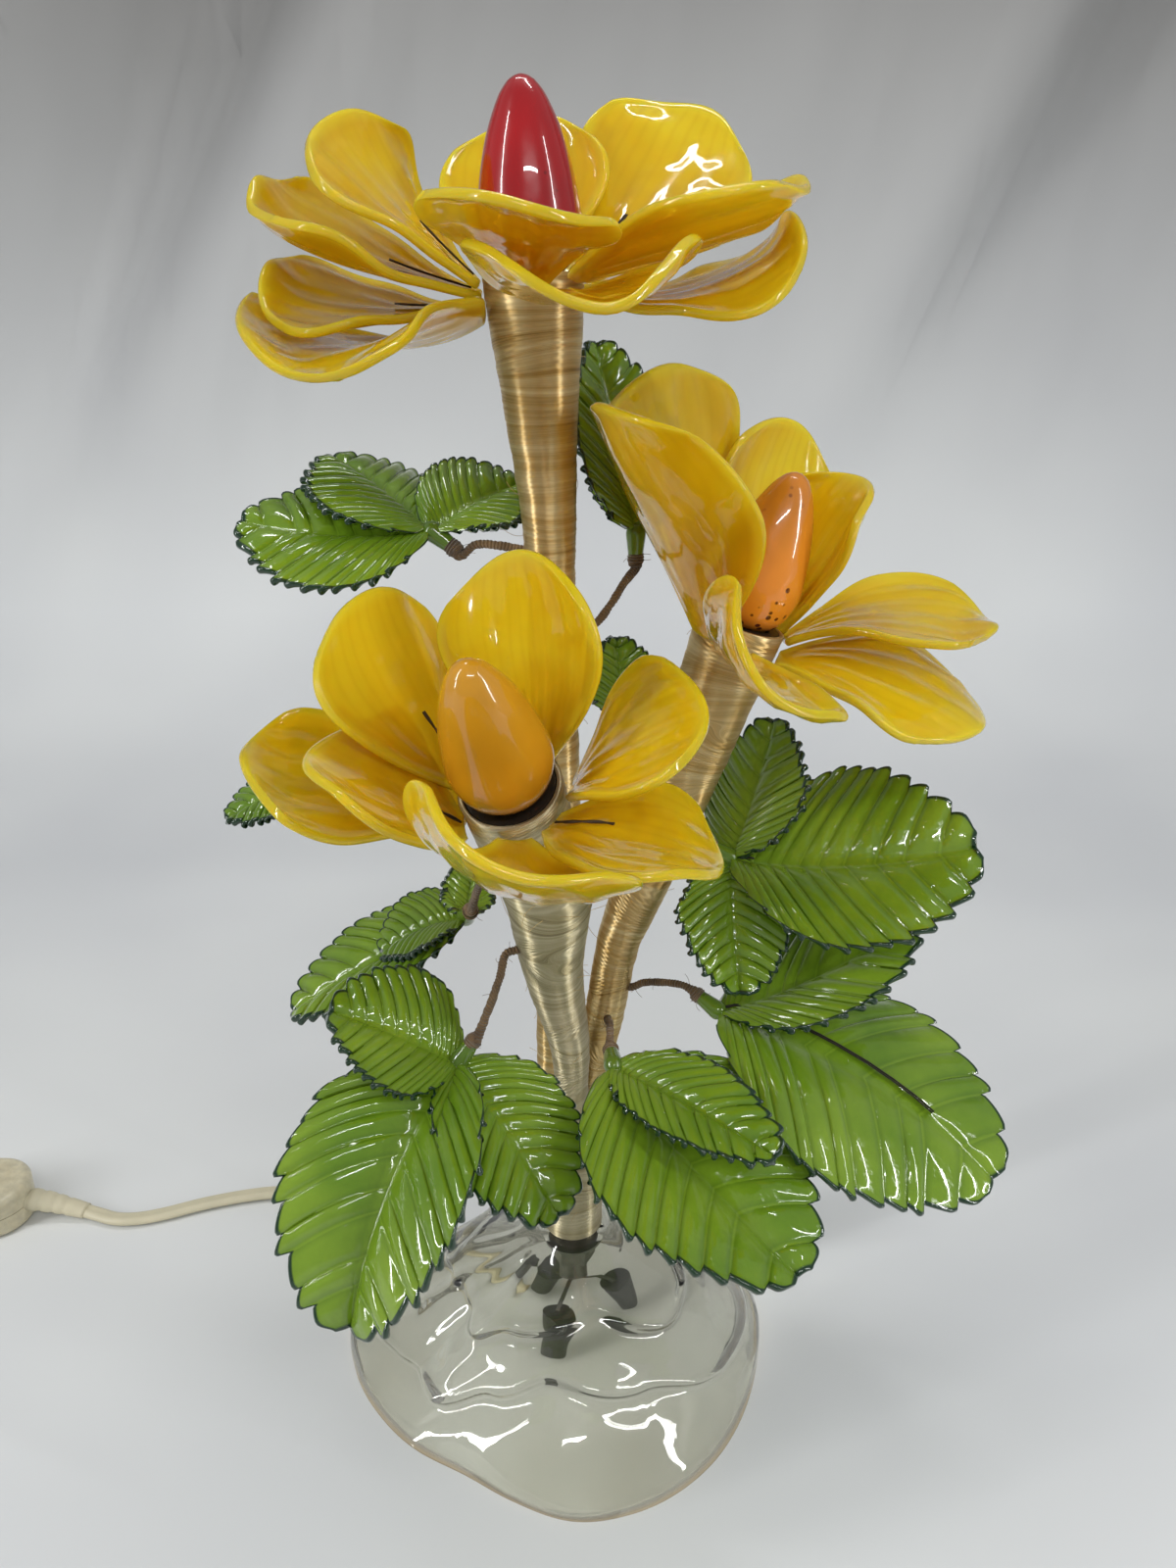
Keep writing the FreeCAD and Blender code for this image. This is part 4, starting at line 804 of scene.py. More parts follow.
def green_moulded_acrylic(colours):
    """Injection-moulded acrylic: glossy pleats with painted shade in their valleys, pale veins that are
    partly a painted highlight, and a margin painted near black, as an edge looks where it is looked along.
    """
    material, tree, spot = new_material("Moulded acrylic, green")
    cloud = add(tree, "noise", spot, 30, 3)
    body = add(tree, "ramp", cloud, stops=[(0.34, colours.green), (0.7, colours.green_light)])
    pleat = add(tree, "mark", attribute_name="pleat")
    # painted shade: the flanks of the pleat valleys are painted deep green
    painted_valley_shade = add(tree, "ramp", pleat, stops=[(0.05, "000000"), (0.28, "8C8C8C"), (0.75, "000000")])
    body = add(tree, "mix", painted_valley_shade, body, colours.green_valley_shade)
    # pale lines along the veins: partly the moulding's pale veins, partly a painted highlight along them
    pale_vein_and_glint = add(tree, "ramp", pleat, stops=[(0.0, "A0A0A0"), (0.2, "000000")])
    body = add(tree, "mix", pale_vein_and_glint, body, colours.green_light)
    # painted shade: the margin is painted near black, as an edge looks where it is looked along
    edge = add(tree, "mark", attribute_name="rim")
    edge = add(tree, "ramp", edge, stops=[(0.45, "000000"), (0.8, "FFFFFF")])
    body = add(tree, "mix", edge, body, colours.green_margin_shade)
    return finish(material, {
        "Base Color": body, "Roughness": 0.14, "IOR": 1.3, "Transmission Weight": 0.3,
        "Specular IOR Level": 0.3, "Coat Weight": 1.0, "Coat Roughness": 0.015,
        "Normal": add(tree, "bump", add(tree, "noise", spot, 190), 0.0006),
    })


def clear_moulded_acrylic():
    """Clear moulded acrylic: greyish clear, hazy with scratches, and its lowest rim painted beige and less
    clear, as painted light seen in the edge.
    """
    material, tree, spot = new_material("Moulded acrylic, clear")
    dust = add(tree, "noise", spot, 60, 6, 0.7)
    haze = add(tree, "ramp", dust, stops=[(0.45, "161616"), (0.8, "404040")])
    tint = add(tree, "ramp", add(tree, "noise", spot, 14), stops=[(0.35, "C8C8BC"), (0.7, "B9B7A8")])
    painted_rim_light = add(tree, "mark", attribute_name="rim")
    return finish(material, {
        # painted light: the lowest rim is painted beige and made less clear, standing in for the light seen
        # in its edge
        "Base Color": add(tree, "mix", painted_rim_light, tint, "C2B08C"), "Roughness": haze, "IOR": 1.49,
        "Transmission Weight": add(tree, "MULTIPLY_ADD", painted_rim_light, -0.6, 1.0),
        "Coat Weight": 0.5, "Coat Roughness": 0.03,
        "Normal": add(tree, "bump", add(tree, "noise", spot, 45), 0.0008),
    })


def painted_glass(name, code, fleck_code=None, fleck_size=0.0):
    """Glass bulb dipped in lacquer: full glossy coat, with small flecks where it has flaked."""
    material, tree, spot = new_material(name)
    body = add(tree, "ramp", add(tree, "noise", spot, 34), stops=[(0.3, darker(code, 0.82)), (0.7, code)])
    if fleck_code:
        cells = add(tree, "cells", spot, 260)
        fleck = add(tree, "ramp", cells, stops=[(fleck_size, "FFFFFF"), (fleck_size + 0.06, "000000")])
        where = add(tree, "ramp", add(tree, "noise", spot, 70), stops=[(0.5, "000000"), (0.62, "FFFFFF")])
        body = add(tree, "mix", add(tree, "MULTIPLY", fleck, where), body, fleck_code)
    return finish(material, {
        "Base Color": body, "Roughness": 0.25, "Specular IOR Level": 0.2,
        "Coat Weight": 1.0, "Coat Roughness": 0.02,
        "Normal": add(tree, "bump", add(tree, "noise", spot, 90), 0.0003),
    })


def rayon_floss(name, middle, light, dark):
    """Rayon floss wound in close turns: silky, in bands that shift from cream to brown gold, with painted
    shade and painted highlight in fine streaks for its threads.
    """
    material, tree, spot = new_material(name)
    turns = add(tree, "mark", attribute_name="turns")
    # threads 0.3 mm apart are too fine to show, so uneven streaks 0.5 to 1 mm wide stand for them, as
    # painted shade between them and painted highlight on them; the layers under them change colour about
    # every 12 mm
    thread_shade_and_glint, bundle, layer = (
        add(tree, "noise", spot, 6, 4, rough, noise_dimensions="4D", W=add(tree, "MULTIPLY", turns, rate))
        for rate, rough in ((2.2, 0.75), (0.55, 0.7), (0.12, 0.5))
    )
    body = add(tree, "ramp", layer, stops=[(0.3, dark), (0.38, middle), (0.66, light)])
    for source, stops, shade in (
        (bundle, [(0.32, "808080"), (0.42, "000000")], dark),
        (thread_shade_and_glint, [(0.4, "909090"), (0.48, "000000")], dark),
        (thread_shade_and_glint, [(0.52, "000000"), (0.6, "C0C0C0")], light),
    ):
        body = add(tree, "mix", add(tree, "ramp", source, stops=stops), body, shade)
    height = add(tree, "SINE", add(tree, "MULTIPLY", turns, 2 * math.pi))
    # the threads run level round the stems, so their shine stands up across them
    along = add(tree, "cross", (0.0, 0.0, 1.0), add(tree, "surface"))
    return finish(material, {
        "Base Color": body, "Metallic": 0.8, "Roughness": 0.5, "Anisotropic": 1.0,
        "Anisotropic Rotation": 0.25, "Tangent": along, "Normal": add(tree, "bump", height, 0.00006),
    })


def cotton_thread(colours):
    """Brown cotton thread served over wire, dull and hairy."""
    material, tree, spot = new_material("Cotton thread, brown")
    turns = add(tree, "mark", attribute_name="turns")
    strand = add(tree, "SINE", add(tree, "MULTIPLY", turns, 2 * math.pi))
    strand = add(tree, "MULTIPLY_ADD", strand, 0.5, 0.5)
    dye = add(tree, "noise", spot, 120, 3)
    body = add(tree, "ramp", dye, stops=[(0.3, colours.cotton_dark), (0.7, colours.cotton)])
    body = add(tree, "mix", add(tree, "MULTIPLY", strand, 0.4), body, colours.cotton_dark)
    height = add(tree, "ADD", strand, add(tree, "noise", spot, 2400))
    return finish(material, {
        "Base Color": body, "Roughness": 0.85, "Sheen Weight": 0.3,
        "Normal": add(tree, "bump", height, 0.0003),
    })


def plain_finish(name, code, roughness, metallic=0.0, scale=300.0, wear=None, mottle=0.9):
    """Moulded or plated surface: one colour with a fine mottle, a slight skin and some wear."""
    material, tree, spot = new_material(name)
    grain = add(tree, "noise", spot, scale, 3)
    body = add(tree, "ramp", grain, stops=[(0.3, darker(code, mottle)), (0.65, code)])
    if wear:
        patch = add(tree, "noise", spot, 40, 5, 0.7)
        patch = add(tree, "ramp", patch, stops=[(0.55, "000000"), (0.75, "B0B0B0")])
        body = add(tree, "mix", patch, body, wear)
    return finish(material, {
        "Base Color": body, "Roughness": roughness, "Metallic": metallic,
        "Normal": add(tree, "bump", add(tree, "noise", spot, scale * 2), 0.0002),
    })


# Settings that a user would change


def length_setting(name, millimetres, description):
    return bpy.props.FloatProperty(
        name=name, description=description, default=millimetres / 1000, min=0.0, unit="LENGTH", precision=5
    )


def hex_setting(name, code, description):
    return bpy.props.StringProperty(name=name, description=description, default=code, maxlen=6)


class LampPetalSizes(bpy.types.PropertyGroup):
    thickness: length_setting("Thickness", 1.9, "Petal sheet in its middle")
    rim_thickness: length_setting("Rim thickness", 2.5, "Thick rounded rim of a petal")
    rim_width: length_setting("Rim width", 4.0, "How far the thick rim reaches in")
    bead: length_setting("Rim bead", 0.9, "How far the rounded rim stands out")
    rib_height: length_setting("Rib height", 0.3, "Pressed ribs that fan out from the claw")


class LampLeafSizes(bpy.types.PropertyGroup):
    thickness: length_setting("Thickness", 1.5, "Leaf blade between its margins")
    rim_thickness: length_setting("Margin thickness", 2.3, "Rounded margin of a leaf")
    pleat_height: length_setting("Pleat height", 1.05, "Pleats between the side veins")
    lobe_depth: length_setting("Lobe depth", 2.9, "Lobes along the margin")
    lobes: bpy.props.IntProperty(name="Lobes", description="Lobes along each side", default=13, min=4)


class LampCordSizes(bpy.types.PropertyGroup):
    width: length_setting("Width", 7, "Flat twin cord across both cores")
    thickness: length_setting("Thickness", 4.4, "Flat twin cord through one core")
    lead_length: length_setting("Lead length", 268, "Cord from the base to its switch")
    tail_length: length_setting("Tail length", 1455, "Cord from the switch to the plug")


class LampColours(bpy.types.PropertyGroup):
    yellow: hex_setting("Petal yellow", "ECC416", "Body colour of the petals")
    lemon: hex_setting("Petal lemon", "F4D626", "Brightest clouds in the petals")
    olive: hex_setting("Petal olive", "D4AC12", "Darkest clouds in the petals")
    amber: hex_setting("Petal amber", "DCA20E", "Colour at a petal's claw and ribs")
    # painted glow of the petals' rounded rim
    rim: hex_setting("Petal rim", "F4DC30", "Thick rim of a petal")
    green: hex_setting("Leaf green", "6C921E", "Body colour of the leaves")
    green_light: hex_setting("Leaf light green", "90B032", "Brightest clouds in the leaves")
    # painted shade in the leaves' pleat valleys
    green_valley_shade: hex_setting("Leaf deep green", "305A14", "Pleat valleys of the leaves")
    # painted shade of a leaf's margin seen along its edge
    green_margin_shade: hex_setting("Leaf margin", "183A22", "Margin of a leaf")
    # the floss colours also paint the shade and highlight streaks of threads too fine to show
    floss: hex_setting("Floss", "CBA866", "Wound floss on the stems")
    floss_light: hex_setting("Floss light", "ECD6A2", "Lightest bands of the floss")
    floss_dark: hex_setting("Floss dark", "84622E", "Darkest bands of the floss")
    straw: hex_setting("Straw floss", "AFA27C", "Paler floss on the trunk and the lower stems")
    straw_light: hex_setting("Straw floss light", "D6CCAC", "Lightest bands of the paler floss")
    straw_dark: hex_setting("Straw floss dark", "7A6D4E", "Darkest bands of the paler floss")
    cotton: hex_setting("Cotton", "8A6E4A", "Thread served over the leaf wires")
    cotton_dark: hex_setting("Cotton dark", "4A3620", "Shade between the thread's turns")
    red: hex_setting("Red bulb", "A80810", "Lacquer of the top bulb")
    orange: hex_setting("Orange bulb", "E08A26", "Lacquer of the right bulb")
    amber_bulb: hex_setting("Amber bulb", "C88E1E", "Lacquer of the front bulb")
    cream: hex_setting("Cream", "CCC4A8", "Cord, plug and switch")
    cloth: hex_setting("Cloth", "E0E2E1", "Backdrop and floor")


class LampSettings(bpy.types.PropertyGroup):
    petals: bpy.props.PointerProperty(name="Petals", description="Petal sizes", type=LampPetalSizes)
    leaves: bpy.props.PointerProperty(name="Leaves", description="Leaf sizes", type=LampLeafSizes)
    cord: bpy.props.PointerProperty(name="Cord", description="Cord sizes", type=LampCordSizes)
    colours: bpy.props.PointerProperty(name="Colours", description="Colours as sRGB hex", type=LampColours)


CAMERA_SPOT = (5.7, -354, 382)
CAMERA_PITCH = 67.4
CAMERA_LENS = 27.05
# lamps as (name, place, target, width, height, watts); they are narrow, so that glossy rims and
# pleats show thin bright lines
LIGHTS = [
    ("left", (-760, -400, 740), (0, 0, 260), 0.035, 0.80, 3.2),
    ("right", (700, -380, 660), (0, 0, 260), 0.03, 0.60, 1.6),
    ("front", (120, -640, 760), (0, 0, 230), 0.40, 0.025, 1.6),
    ("top", (40, 120, 1100), (0, 0, 200), 0.60, 0.05, 2.4),
    ("window_left", (-1450, -740, 560), (0, 0, 240), 0.06, 0.80, 5.0),
    ("window_right", (1400, -700, 560), (0, 0, 240), 0.06, 0.80, 5.0),
]
# the backdrop's section as (y, z): a floor that rises in one sweep to a wall
SWEEP = [(-900, 0), (-300, 0), (150, 0), (420, 0), (560, 18), (650, 70), (700, 150)]
SWEEP += [(720 + 5 * k, 150 + 70 * k) for k in range(1, 19)]
BACKDROP_WIDTH = 3200
BACKDROP_COLUMNS = 121


def pale_cloth(code):
    """Matt grey-white cotton, the weave too fine to show, that falls into shade where it climbs."""
    material, tree, spot = new_material("Cotton cloth, pale")
    shade = add(tree, "ramp", add(tree, "noise", spot, 3), stops=[(0.3, "CFD1D3"), (0.7, code)])
    # painted shade: the cloth is painted darker grey as it climbs from the floor up the wall
    climb = add(tree, "ramp", add(tree, "height", spot), stops=[(0.12, "000000"), (0.62, "FFFFFF")])
    return finish(material, {"Base Color": add(tree, "mix", climb, shade, "969593"), "Roughness": 0.9})


def backdrop(cloth):
    """The floor and the wall behind it, with soft folds that slant up to the right."""
    spots = []
    for y, z in SWEEP:
        for k in range(BACKDROP_COLUMNS):
            x = BACKDROP_WIDTH * (k / (BACKDROP_COLUMNS - 1) - 0.5)
            slant = x - 0.55 * z
            fold = noise.noise(Vector((slant / 150, z / 1500, 2.0)))
            fold += 0.35 * noise.noise(Vector((slant / 60, z / 900, 5.0)))
            fold *= 100 * smooth(60, 560, z) * (1 - smooth(900, 1500, abs(x)))
            spots.append(Vector((x, y + fold, z)))
    faces = []
    for row in range(len(SWEEP) - 1):
        for k in range(BACKDROP_COLUMNS - 1):
            low = row * BACKDROP_COLUMNS + k
            faces.append((low, low + 1, low + BACKDROP_COLUMNS + 1, low + BACKDROP_COLUMNS))
    return mesh_piece("floor", spots, faces, cloth)


class LampStage(bpy.types.Operator):
    """Camera, soft lights, pale floor and backdrop"""

    bl_idname = "lamp.stage"
    bl_label = "Stage"

    def execute(self, context):
        scene = context.scene
        scene.view_settings.view_transform = "Standard"
        camera_data = bpy.data.cameras.new("Camera")
        camera_data.sensor_fit = "VERTICAL"
        camera_data.sensor_height = 36
        camera_data.lens = CAMERA_LENS
        camera_data.clip_start = 0.01
        camera = bpy.data.objects.new("Camera", camera_data)
        camera.location = place(CAMERA_SPOT)
        camera.rotation_euler = Euler((math.radians(CAMERA_PITCH), 0, 0))
        scene.collection.objects.link(camera)
        scene.camera = camera
        floor = backdrop(pale_cloth(scene.lamp.colours.cloth))
        scene.world = bpy.data.worlds.new("Studio")
        scene.world.use_nodes = True
        sky = scene.world.node_tree.nodes["Background"].inputs
        sky["Color"].default_value = (0.95, 0.97, 1.0, 1)
        sky["Strength"].default_value = 0.36
        for name, spot, target, wide, high, power in LIGHTS:
            data = bpy.data.lights.new(name, "AREA")
            data.shape = "RECTANGLE"
            data.size = wide
            data.size_y = high
            data.energy = power
            light = bpy.data.objects.new(name, data)
            light.location = place(spot)
            light.rotation_euler = (Vector(target) - Vector(spot)).to_track_quat("-Z", "Y").to_euler()
            # the lamps light what lies behind the clear base, but are not seen through it
            light.visible_transmission = False
            scene.collection.objects.link(light)
        return {"FINISHED"}


# height of a cord's middle on the floor, and in the switch
CORD_REST = 2.6
CORD_IN_SWITCH = 9.8
# the angle at which the cord comes out of the base
CORD_SIDE = 143
COIL_CENTRE = Vector((-357.5, 8, 0))


def level_axes(line, k):
    """Level and rising directions across a line at its point k."""
    ahead = (line[min(k + 1, len(line) - 1)] - line[max(k - 1, 0)]).normalized()
    side = ahead.cross(Vector((0, 0, 1))).normalized()
    return side, side.cross(ahead)


def spline_line(corners):
    """Points of the smooth line that a NURBS spline with these control points draws."""
    curve = bpy.data.curves.new("route", "CURVE")
    curve.dimensions = "3D"
    spline = curve.splines.new("NURBS")
    spline.points.add(len(corners) - 1)
    for point, corner in zip(spline.points, corners):
        point.co = (*corner, 1)
    spline.order_u = 3
    spline.use_endpoint_u = True
    spline.resolution_u = 10
    route = bpy.data.objects.new("route", curve)
    line = [vertex.co.copy() for vertex in bpy.data.meshes.new_from_object(route).vertices]
    bpy.data.objects.remove(route)
    return line


def twin_cord(name, corners, sizes, material):
    """Flat cord lying on its wide side: two round cores joined by a thin web."""
    line = spline_line(corners)
    loops = []
    for k, point in enumerate(line):
        side, up = level_axes(line, k)
        loop = []
        for n in range(24):
            turn = 2 * math.pi * n / 24
            x = math.cos(turn)
            dip = 1 - 0.24 * math.exp(-((x / 0.22) ** 2))
            y = math.sin(turn) * (1 - 0.15 * x ** 4) * dip
            loop.append(point + side * (sizes.width * 500 * x) + up * (sizes.thickness * 500 * y))
        loops.append(loop)
    spots, faces = rings(loops)
    return mesh_piece(name, spots, faces, material), [place(point) for point in line]


def coil_line():
    """Three turns in along the floor, three and a half out on top of them, then down beside them."""
    low, high = CORD_REST, CORD_REST + 5
    # each node is (reach, height, angle), half a turn after the last
    nodes = [(40 - 3.9 * k, low, 180 + 180 * k) for k in range(7)]
    nodes.append((12.7, high, 1440))
    for k, reach in enumerate((21.5, 21.7, 29.3, 29.5, 37.1, 37.3, 44.9)):
        nodes.append((reach, high, 1620 + 180 * k))
    nodes.append((52.9, low, 2790))
    line = []
    for (r0, z0, a0), (r1, z1, a1) in zip(nodes, nodes[1:]):
        steps = round((a1 - a0) / 30)
        for step in range(steps):
            share = step / steps
            rise = smooth(0, 1, share)
            # control points stand a little outside the turns that they draw
            reach = (r0 + (r1 - r0) * rise) / 0.983
            line.append(COIL_CENTRE + polar(reach, a0 + (a1 - a0) * share, z0 + (z1 - z0) * rise))
    return line, COIL_CENTRE + polar(52.9, 270, low)


def cord_sleeve(name, path, sizes, material, reach=26):
    """Tapered, ribbed sleeve round the first stretch of a cord, from the housing outwards."""
    line = [(spot - trunk_axis) * 1000 for spot in path]
    run = 0.0
    loops = []
    for k in range(len(line) - 1):
        if run > reach:
            break
        side, up = level_axes(line, k)
        length = (line[k + 1] - line[k]).length
        steps = max(1, round(length / 0.8))
        for step in range(steps):
            share = min((run + length * step / steps) / reach, 1.0)
            grow = 1.9 * (1 - share) + 0.5
            rib = 0.35 * (math.sin(share * 30) > 0.4) * (share < 0.85)
            wide = sizes.width * 500 + grow - rib
            thick = sizes.thickness * 500 + min(grow, 0.9 + 1.2 * (1 - share)) - rib
            loops.append(ring(line[k].lerp(line[k + 1], step / steps), side, up, wide, thick, 28))
        run += length
    spots, faces = rings(loops)
    return settle(mesh_piece(name, spots, faces, material), "lamp", "plug_vinyl")


class LampCord(bpy.types.Operator):
    """Flat twin cord from the base through its switch to the coil and plug"""

    bl_idname = "lamp.cord"
    bl_label = "Cord"

    def execute(self, context):
        sizes = context.scene.lamp.cord
        cream = context.scene.lamp.colours.cream
        # soft PVC, yellowed with age
        vinyl = plain_finish("PVC, cream", cream, 0.42, scale=90.0, mottle=0.96)
        moulded = plain_finish("PVC, moulded cream", cream, 0.5, scale=90.0, mottle=0.95)
        lead_corners = [
            (-22, 16, CORD_REST), polar(74, CORD_SIDE, CORD_REST), (-124, 74, CORD_REST),
            (-160, 68, CORD_REST), (-197, 52, CORD_REST), (-219, 60, CORD_REST),
            (-240.5, 60, CORD_IN_SWITCH), (-253, 60, CORD_IN_SWITCH),
        ]
        lead, lead_path = twin_cord("cord_to_switch", lead_corners, sizes, vinyl)
        settle(lead, "lamp", "cord_vinyl", "cord_lead")
        sleeve_in = cord_sleeve("sleeve_switch_in", lead_path[::-1][4:], sizes, moulded)
        turns, side = coil_line()
        tail_corners = [
            (-296.5, 60, CORD_IN_SWITCH), (-308.5, 60, CORD_IN_SWITCH), (-320.5, 60, CORD_REST),
            (-345, 60, CORD_REST), (-376, 60, CORD_REST), (-393, 51, CORD_REST), (-398.5, 28, CORD_REST),
        ]
        tail_corners += turns
        tail_corners += [side + Vector((x, 0, z)) for x, z in ((2, 0), (14, 0), (30, 5), (41, 5))]
        tail, tail_path = twin_cord("cord_to_plug", tail_corners, sizes, vinyl)
        settle(tail, "lamp", "cord_vinyl", "cord_tail", "cord_coil")
        sleeve_out = cord_sleeve("sleeve_switch_out", tail_path[4:], sizes, moulded)
        sleeve_plug = cord_sleeve("sleeve_plug", tail_path[::-1][2:], sizes, moulded)
        return {"FINISHED"}


# reach of the foot every thirty degrees, and how far in the wall is drawn at each height
FOOT_REACH = [74, 70, 64, 60, 61, 70, 88, 81, 78, 83, 79, 77]
DRAW_IN = [(0, 1.0), (6, 0.96), (15, 0.84), (23, 0.72), (31, 0.60), (39, 0.42), (46, 0.16), (53, 0.0)]
# lips of the two terraces that run round the base, as (angle, height)
UPPER_LIP = [
    (0, 40), (60, 36), (120, 34), (170, 38), (203, 40),
    (223, 36), (240, 39), (281, 43), (320, 36), (340, 37),
]
LOWER_LIP = [(0, 15), (60, 17), (120, 15), (180, 14), (225, 17), (242, 25), (263, 32), (296, 26), (328, 18)]


def around_table(table, angle):
    """Height of a lip at an angle, smoothly between its places round the base."""
    spots = table + [(table[0][0] + 360, table[0][1])]
    angle = (angle - table[0][0]) % 360 + table[0][0]
    for (a, low), (b, high) in zip(spots, spots[1:]):
        if angle <= b:
            return low + (high - low) * smooth(a, b, angle)
    return table[0][1]


def foot_reach(angle):
    """Reach of the foot, the corners between its thirty-degree stations rounded."""
    corners = []
    for near, far in zip(FOOT_REACH, FOOT_REACH[1:] + FOOT_REACH[:1]):
        corners += [near, (near + far) / 2]
    spot = (angle % 360) / 15
    low = int(spot)
    return cubic(*(corners[(low + n) % 24] for n in (-1, 0, 1, 2)), spot - low)


# upright creases round the wall, as (angle, height)
CREASES = [(196, 3.0), (213, -3.4), (226, 2.8), (170, -2.0), (60, 2.4), (95, -2.4), (20, 2.0)]
BASE_AROUND = 240
BASE_WALL = 3.6
NECK = 14
NECK_HOLLOW = 11.5
NIPPLE_BORE = 5.1


def fold_push(angle, height):
    """Terrace lips with a hollow under each, and the upright creases."""
    push = 0.0
    for table, size in ((UPPER_LIP, 3.0), (LOWER_LIP, 2.6)):
        above = height - around_table(table, angle)
        push += size * (math.exp(-((above - 0.5) / 2.4) ** 2) - 0.9 * math.exp(-((above + 4.5) / 3.4) ** 2))
    for at, size in CREASES:
        off = (angle - at - 0.25 * (height - 25) + 180) % 360 - 180
        push += size * math.exp(-((off / 5.0) ** 2)) * smooth(6, 20, height)
    push += 1.6 * noise.noise(polar(2.2, angle, height / 16))
    return push * smooth(2, 8, height) * (1 - smooth(42, 50, height))


def base_loop(share, level, inside):
    """One level of the base's outer or inner skin, arched over the cord's way out."""
    loop = []
    for k in range(BASE_AROUND):
        angle = 360 * k / BASE_AROUND
        wave = 1 + 0.035 * math.sin(math.radians(4 * angle + level * 9)) * share
        reach = NECK + (foot_reach(angle) - NECK) * share * wave
        reach += 0.35 * fold_push(angle, level) - BASE_WALL if inside else fold_push(angle, level)
        height = max(level - 3 * smooth(0, 6, level), 0) if inside else level
        off = abs((angle - CORD_SIDE + 180) % 360 - 180) / 360 * 2 * math.pi * reach
        if level < 9:
            height = max(height, 8.2 * math.sqrt(max(0.0, 1 - (off / 4.6) ** 2)))
        loop.append(polar(max(reach, NECK_HOLLOW), angle, height))
    return loop


def bore_loop(height):
    return [polar(NIPPLE_BORE, 360 * k / BASE_AROUND, height) for k in range(BASE_AROUND)]


class LampBase(bpy.types.Operator):
    """Clear hollow base with terraced folds, and the hardware seen inside it"""

    bl_idname = "lamp.base"
    bl_label = "Base"

    def execute(self, context):
        levels = through([(share, z) for z, share in DRAW_IN], 9)
        loops = [base_loop(share, z, False) for share, z in reversed(levels)]
        loops += [base_loop(share, z, True) for share, z in levels[:-8]]
        loops += [bore_loop(44.6), bore_loop(53), loops[0]]
        spots, faces = rings(loops, close=False)
        # the last loop is the first again, so that the skin joins up
        doubled = len(spots) - BASE_AROUND
        faces = [tuple(corner % doubled for corner in face) for face in faces]
        # the lowest 3.5 mm of the outer skin takes the painted light of the rim
        rim_light_shares = [1 - smooth(0, 3.5, z) for _, z in reversed(levels) for _ in range(BASE_AROUND)]
        shape = Shape("rim")
        shape.add_part(spots[:doubled], faces, rim=rim_light_shares + [0.0] * (doubled - len(rim_light_shares)))
        base = shape.piece("base_clear", clear_moulded_acrylic())
        settle(base, "lamp", "clear_acrylic", "base_shell")
        # clear acrylic lets the lamps' light through to the floor and the parts inside it
        base.visible_shadow = False
        zinc = plain_finish("Zinc-plated steel", "8E8E8A", 0.35, 1.0, wear="6A5A44")
        repaint(zinc, "base_nipple", "base_nuts")
        repaint(plain_finish("Nylon, charcoal", "4A4C47", 0.45, wear="50524C"), "wire_connectors")
        return {"FINISHED"}


def wound(line, pitch, groove, seed, lean, around=56):
    """Rings and turn counts of a thread wound in uneven, leaning layers over a line of (x, y, z, radius)."""
    points = [Vector(spot[:3]) for spot in line]
    run = 0.0
    loops = []
    turns = []
    for k, (_, side, up) in enumerate(path_frames(points)):
        run += (points[k] - points[max(k - 1, 0)]).length
        tilt = lean * noise.noise(Vector((run / 16, seed, 3.0)))
        loop = []
        for n in range(around):
            turn = 2 * math.pi * n / around
            count = (run + tilt * math.sin(turn + seed)) / pitch
            thick = groove * math.sin(2 * math.pi * count)
            thick += 0.3 * noise.noise(Vector((count * pitch / 5.5, seed, 0.5 * math.sin(turn))))
            thick += 0.15 * noise.noise(Vector((count * pitch / 1.7, seed + 7, math.sin(turn))))
            way = side * math.cos(turn) + up * math.sin(turn)
            loop.append(points[k] + way * (line[k][3] + thick - 0.1))
            turns.append(count)
        loops.append(loop)
    return loops, turns


def add_wound(shape, loops, turns):
    spots, faces = rings(loops)
    shape.add_part(spots, faces, turns=turns + [0.0, 0.0])


def stray_fibres(shape, line, count, seed, reach=9.0):
    """Adds fibres that lift off a wound piece in loose arcs."""
    draw = random.Random(seed)
    points = [Vector(spot[:3]) for spot in line]
    frames = path_frames(points)
    for _ in range(count):
        k = draw.randrange(2, len(line) - 2)
        ahead, side, up = frames[k]
        turn = draw.uniform(0, 2 * math.pi)
        out = side * math.cos(turn) + up * math.sin(turn)
        spot = points[k] + out * (line[k][3] - 0.3)
        way = (ahead.cross(out) * draw.choice((-1, 1)) + out * draw.uniform(0.1, 0.9)).normalized()
        way = (way + ahead * draw.uniform(-0.5, 0.5)).normalized()
        curl = Vector((draw.uniform(-1, 1), draw.uniform(-1, 1), draw.uniform(-1, 1))).normalized()
        bend = draw.uniform(4, 16)
        size = draw.uniform(0.25, 1.0) * reach / 7
        fibre = []
        for _ in range(8):
            fibre.append((*spot, 0.08))
            spot = spot + way * size
            way = turned(way, curl, bend)
        shape.add_part(*tube(fibre, 3))


# a turn of floss stands for five threads, which are too fine to show
FLOSS_PITCH = 1.5
FLOSS_GROOVE = 0.03
# the mouth of each cone as (radius, depth), from its rim down into the hollow that holds the socket
MOUTH = [(12.75, 0.1), (12.75, -4.5), (10.95, -4.5), (10.95, -29.4)]
# how far the turns of each stem lean, in millimetres across it
LEANS = {"top": 5.0, "right": 12.0, "front": 14.0}


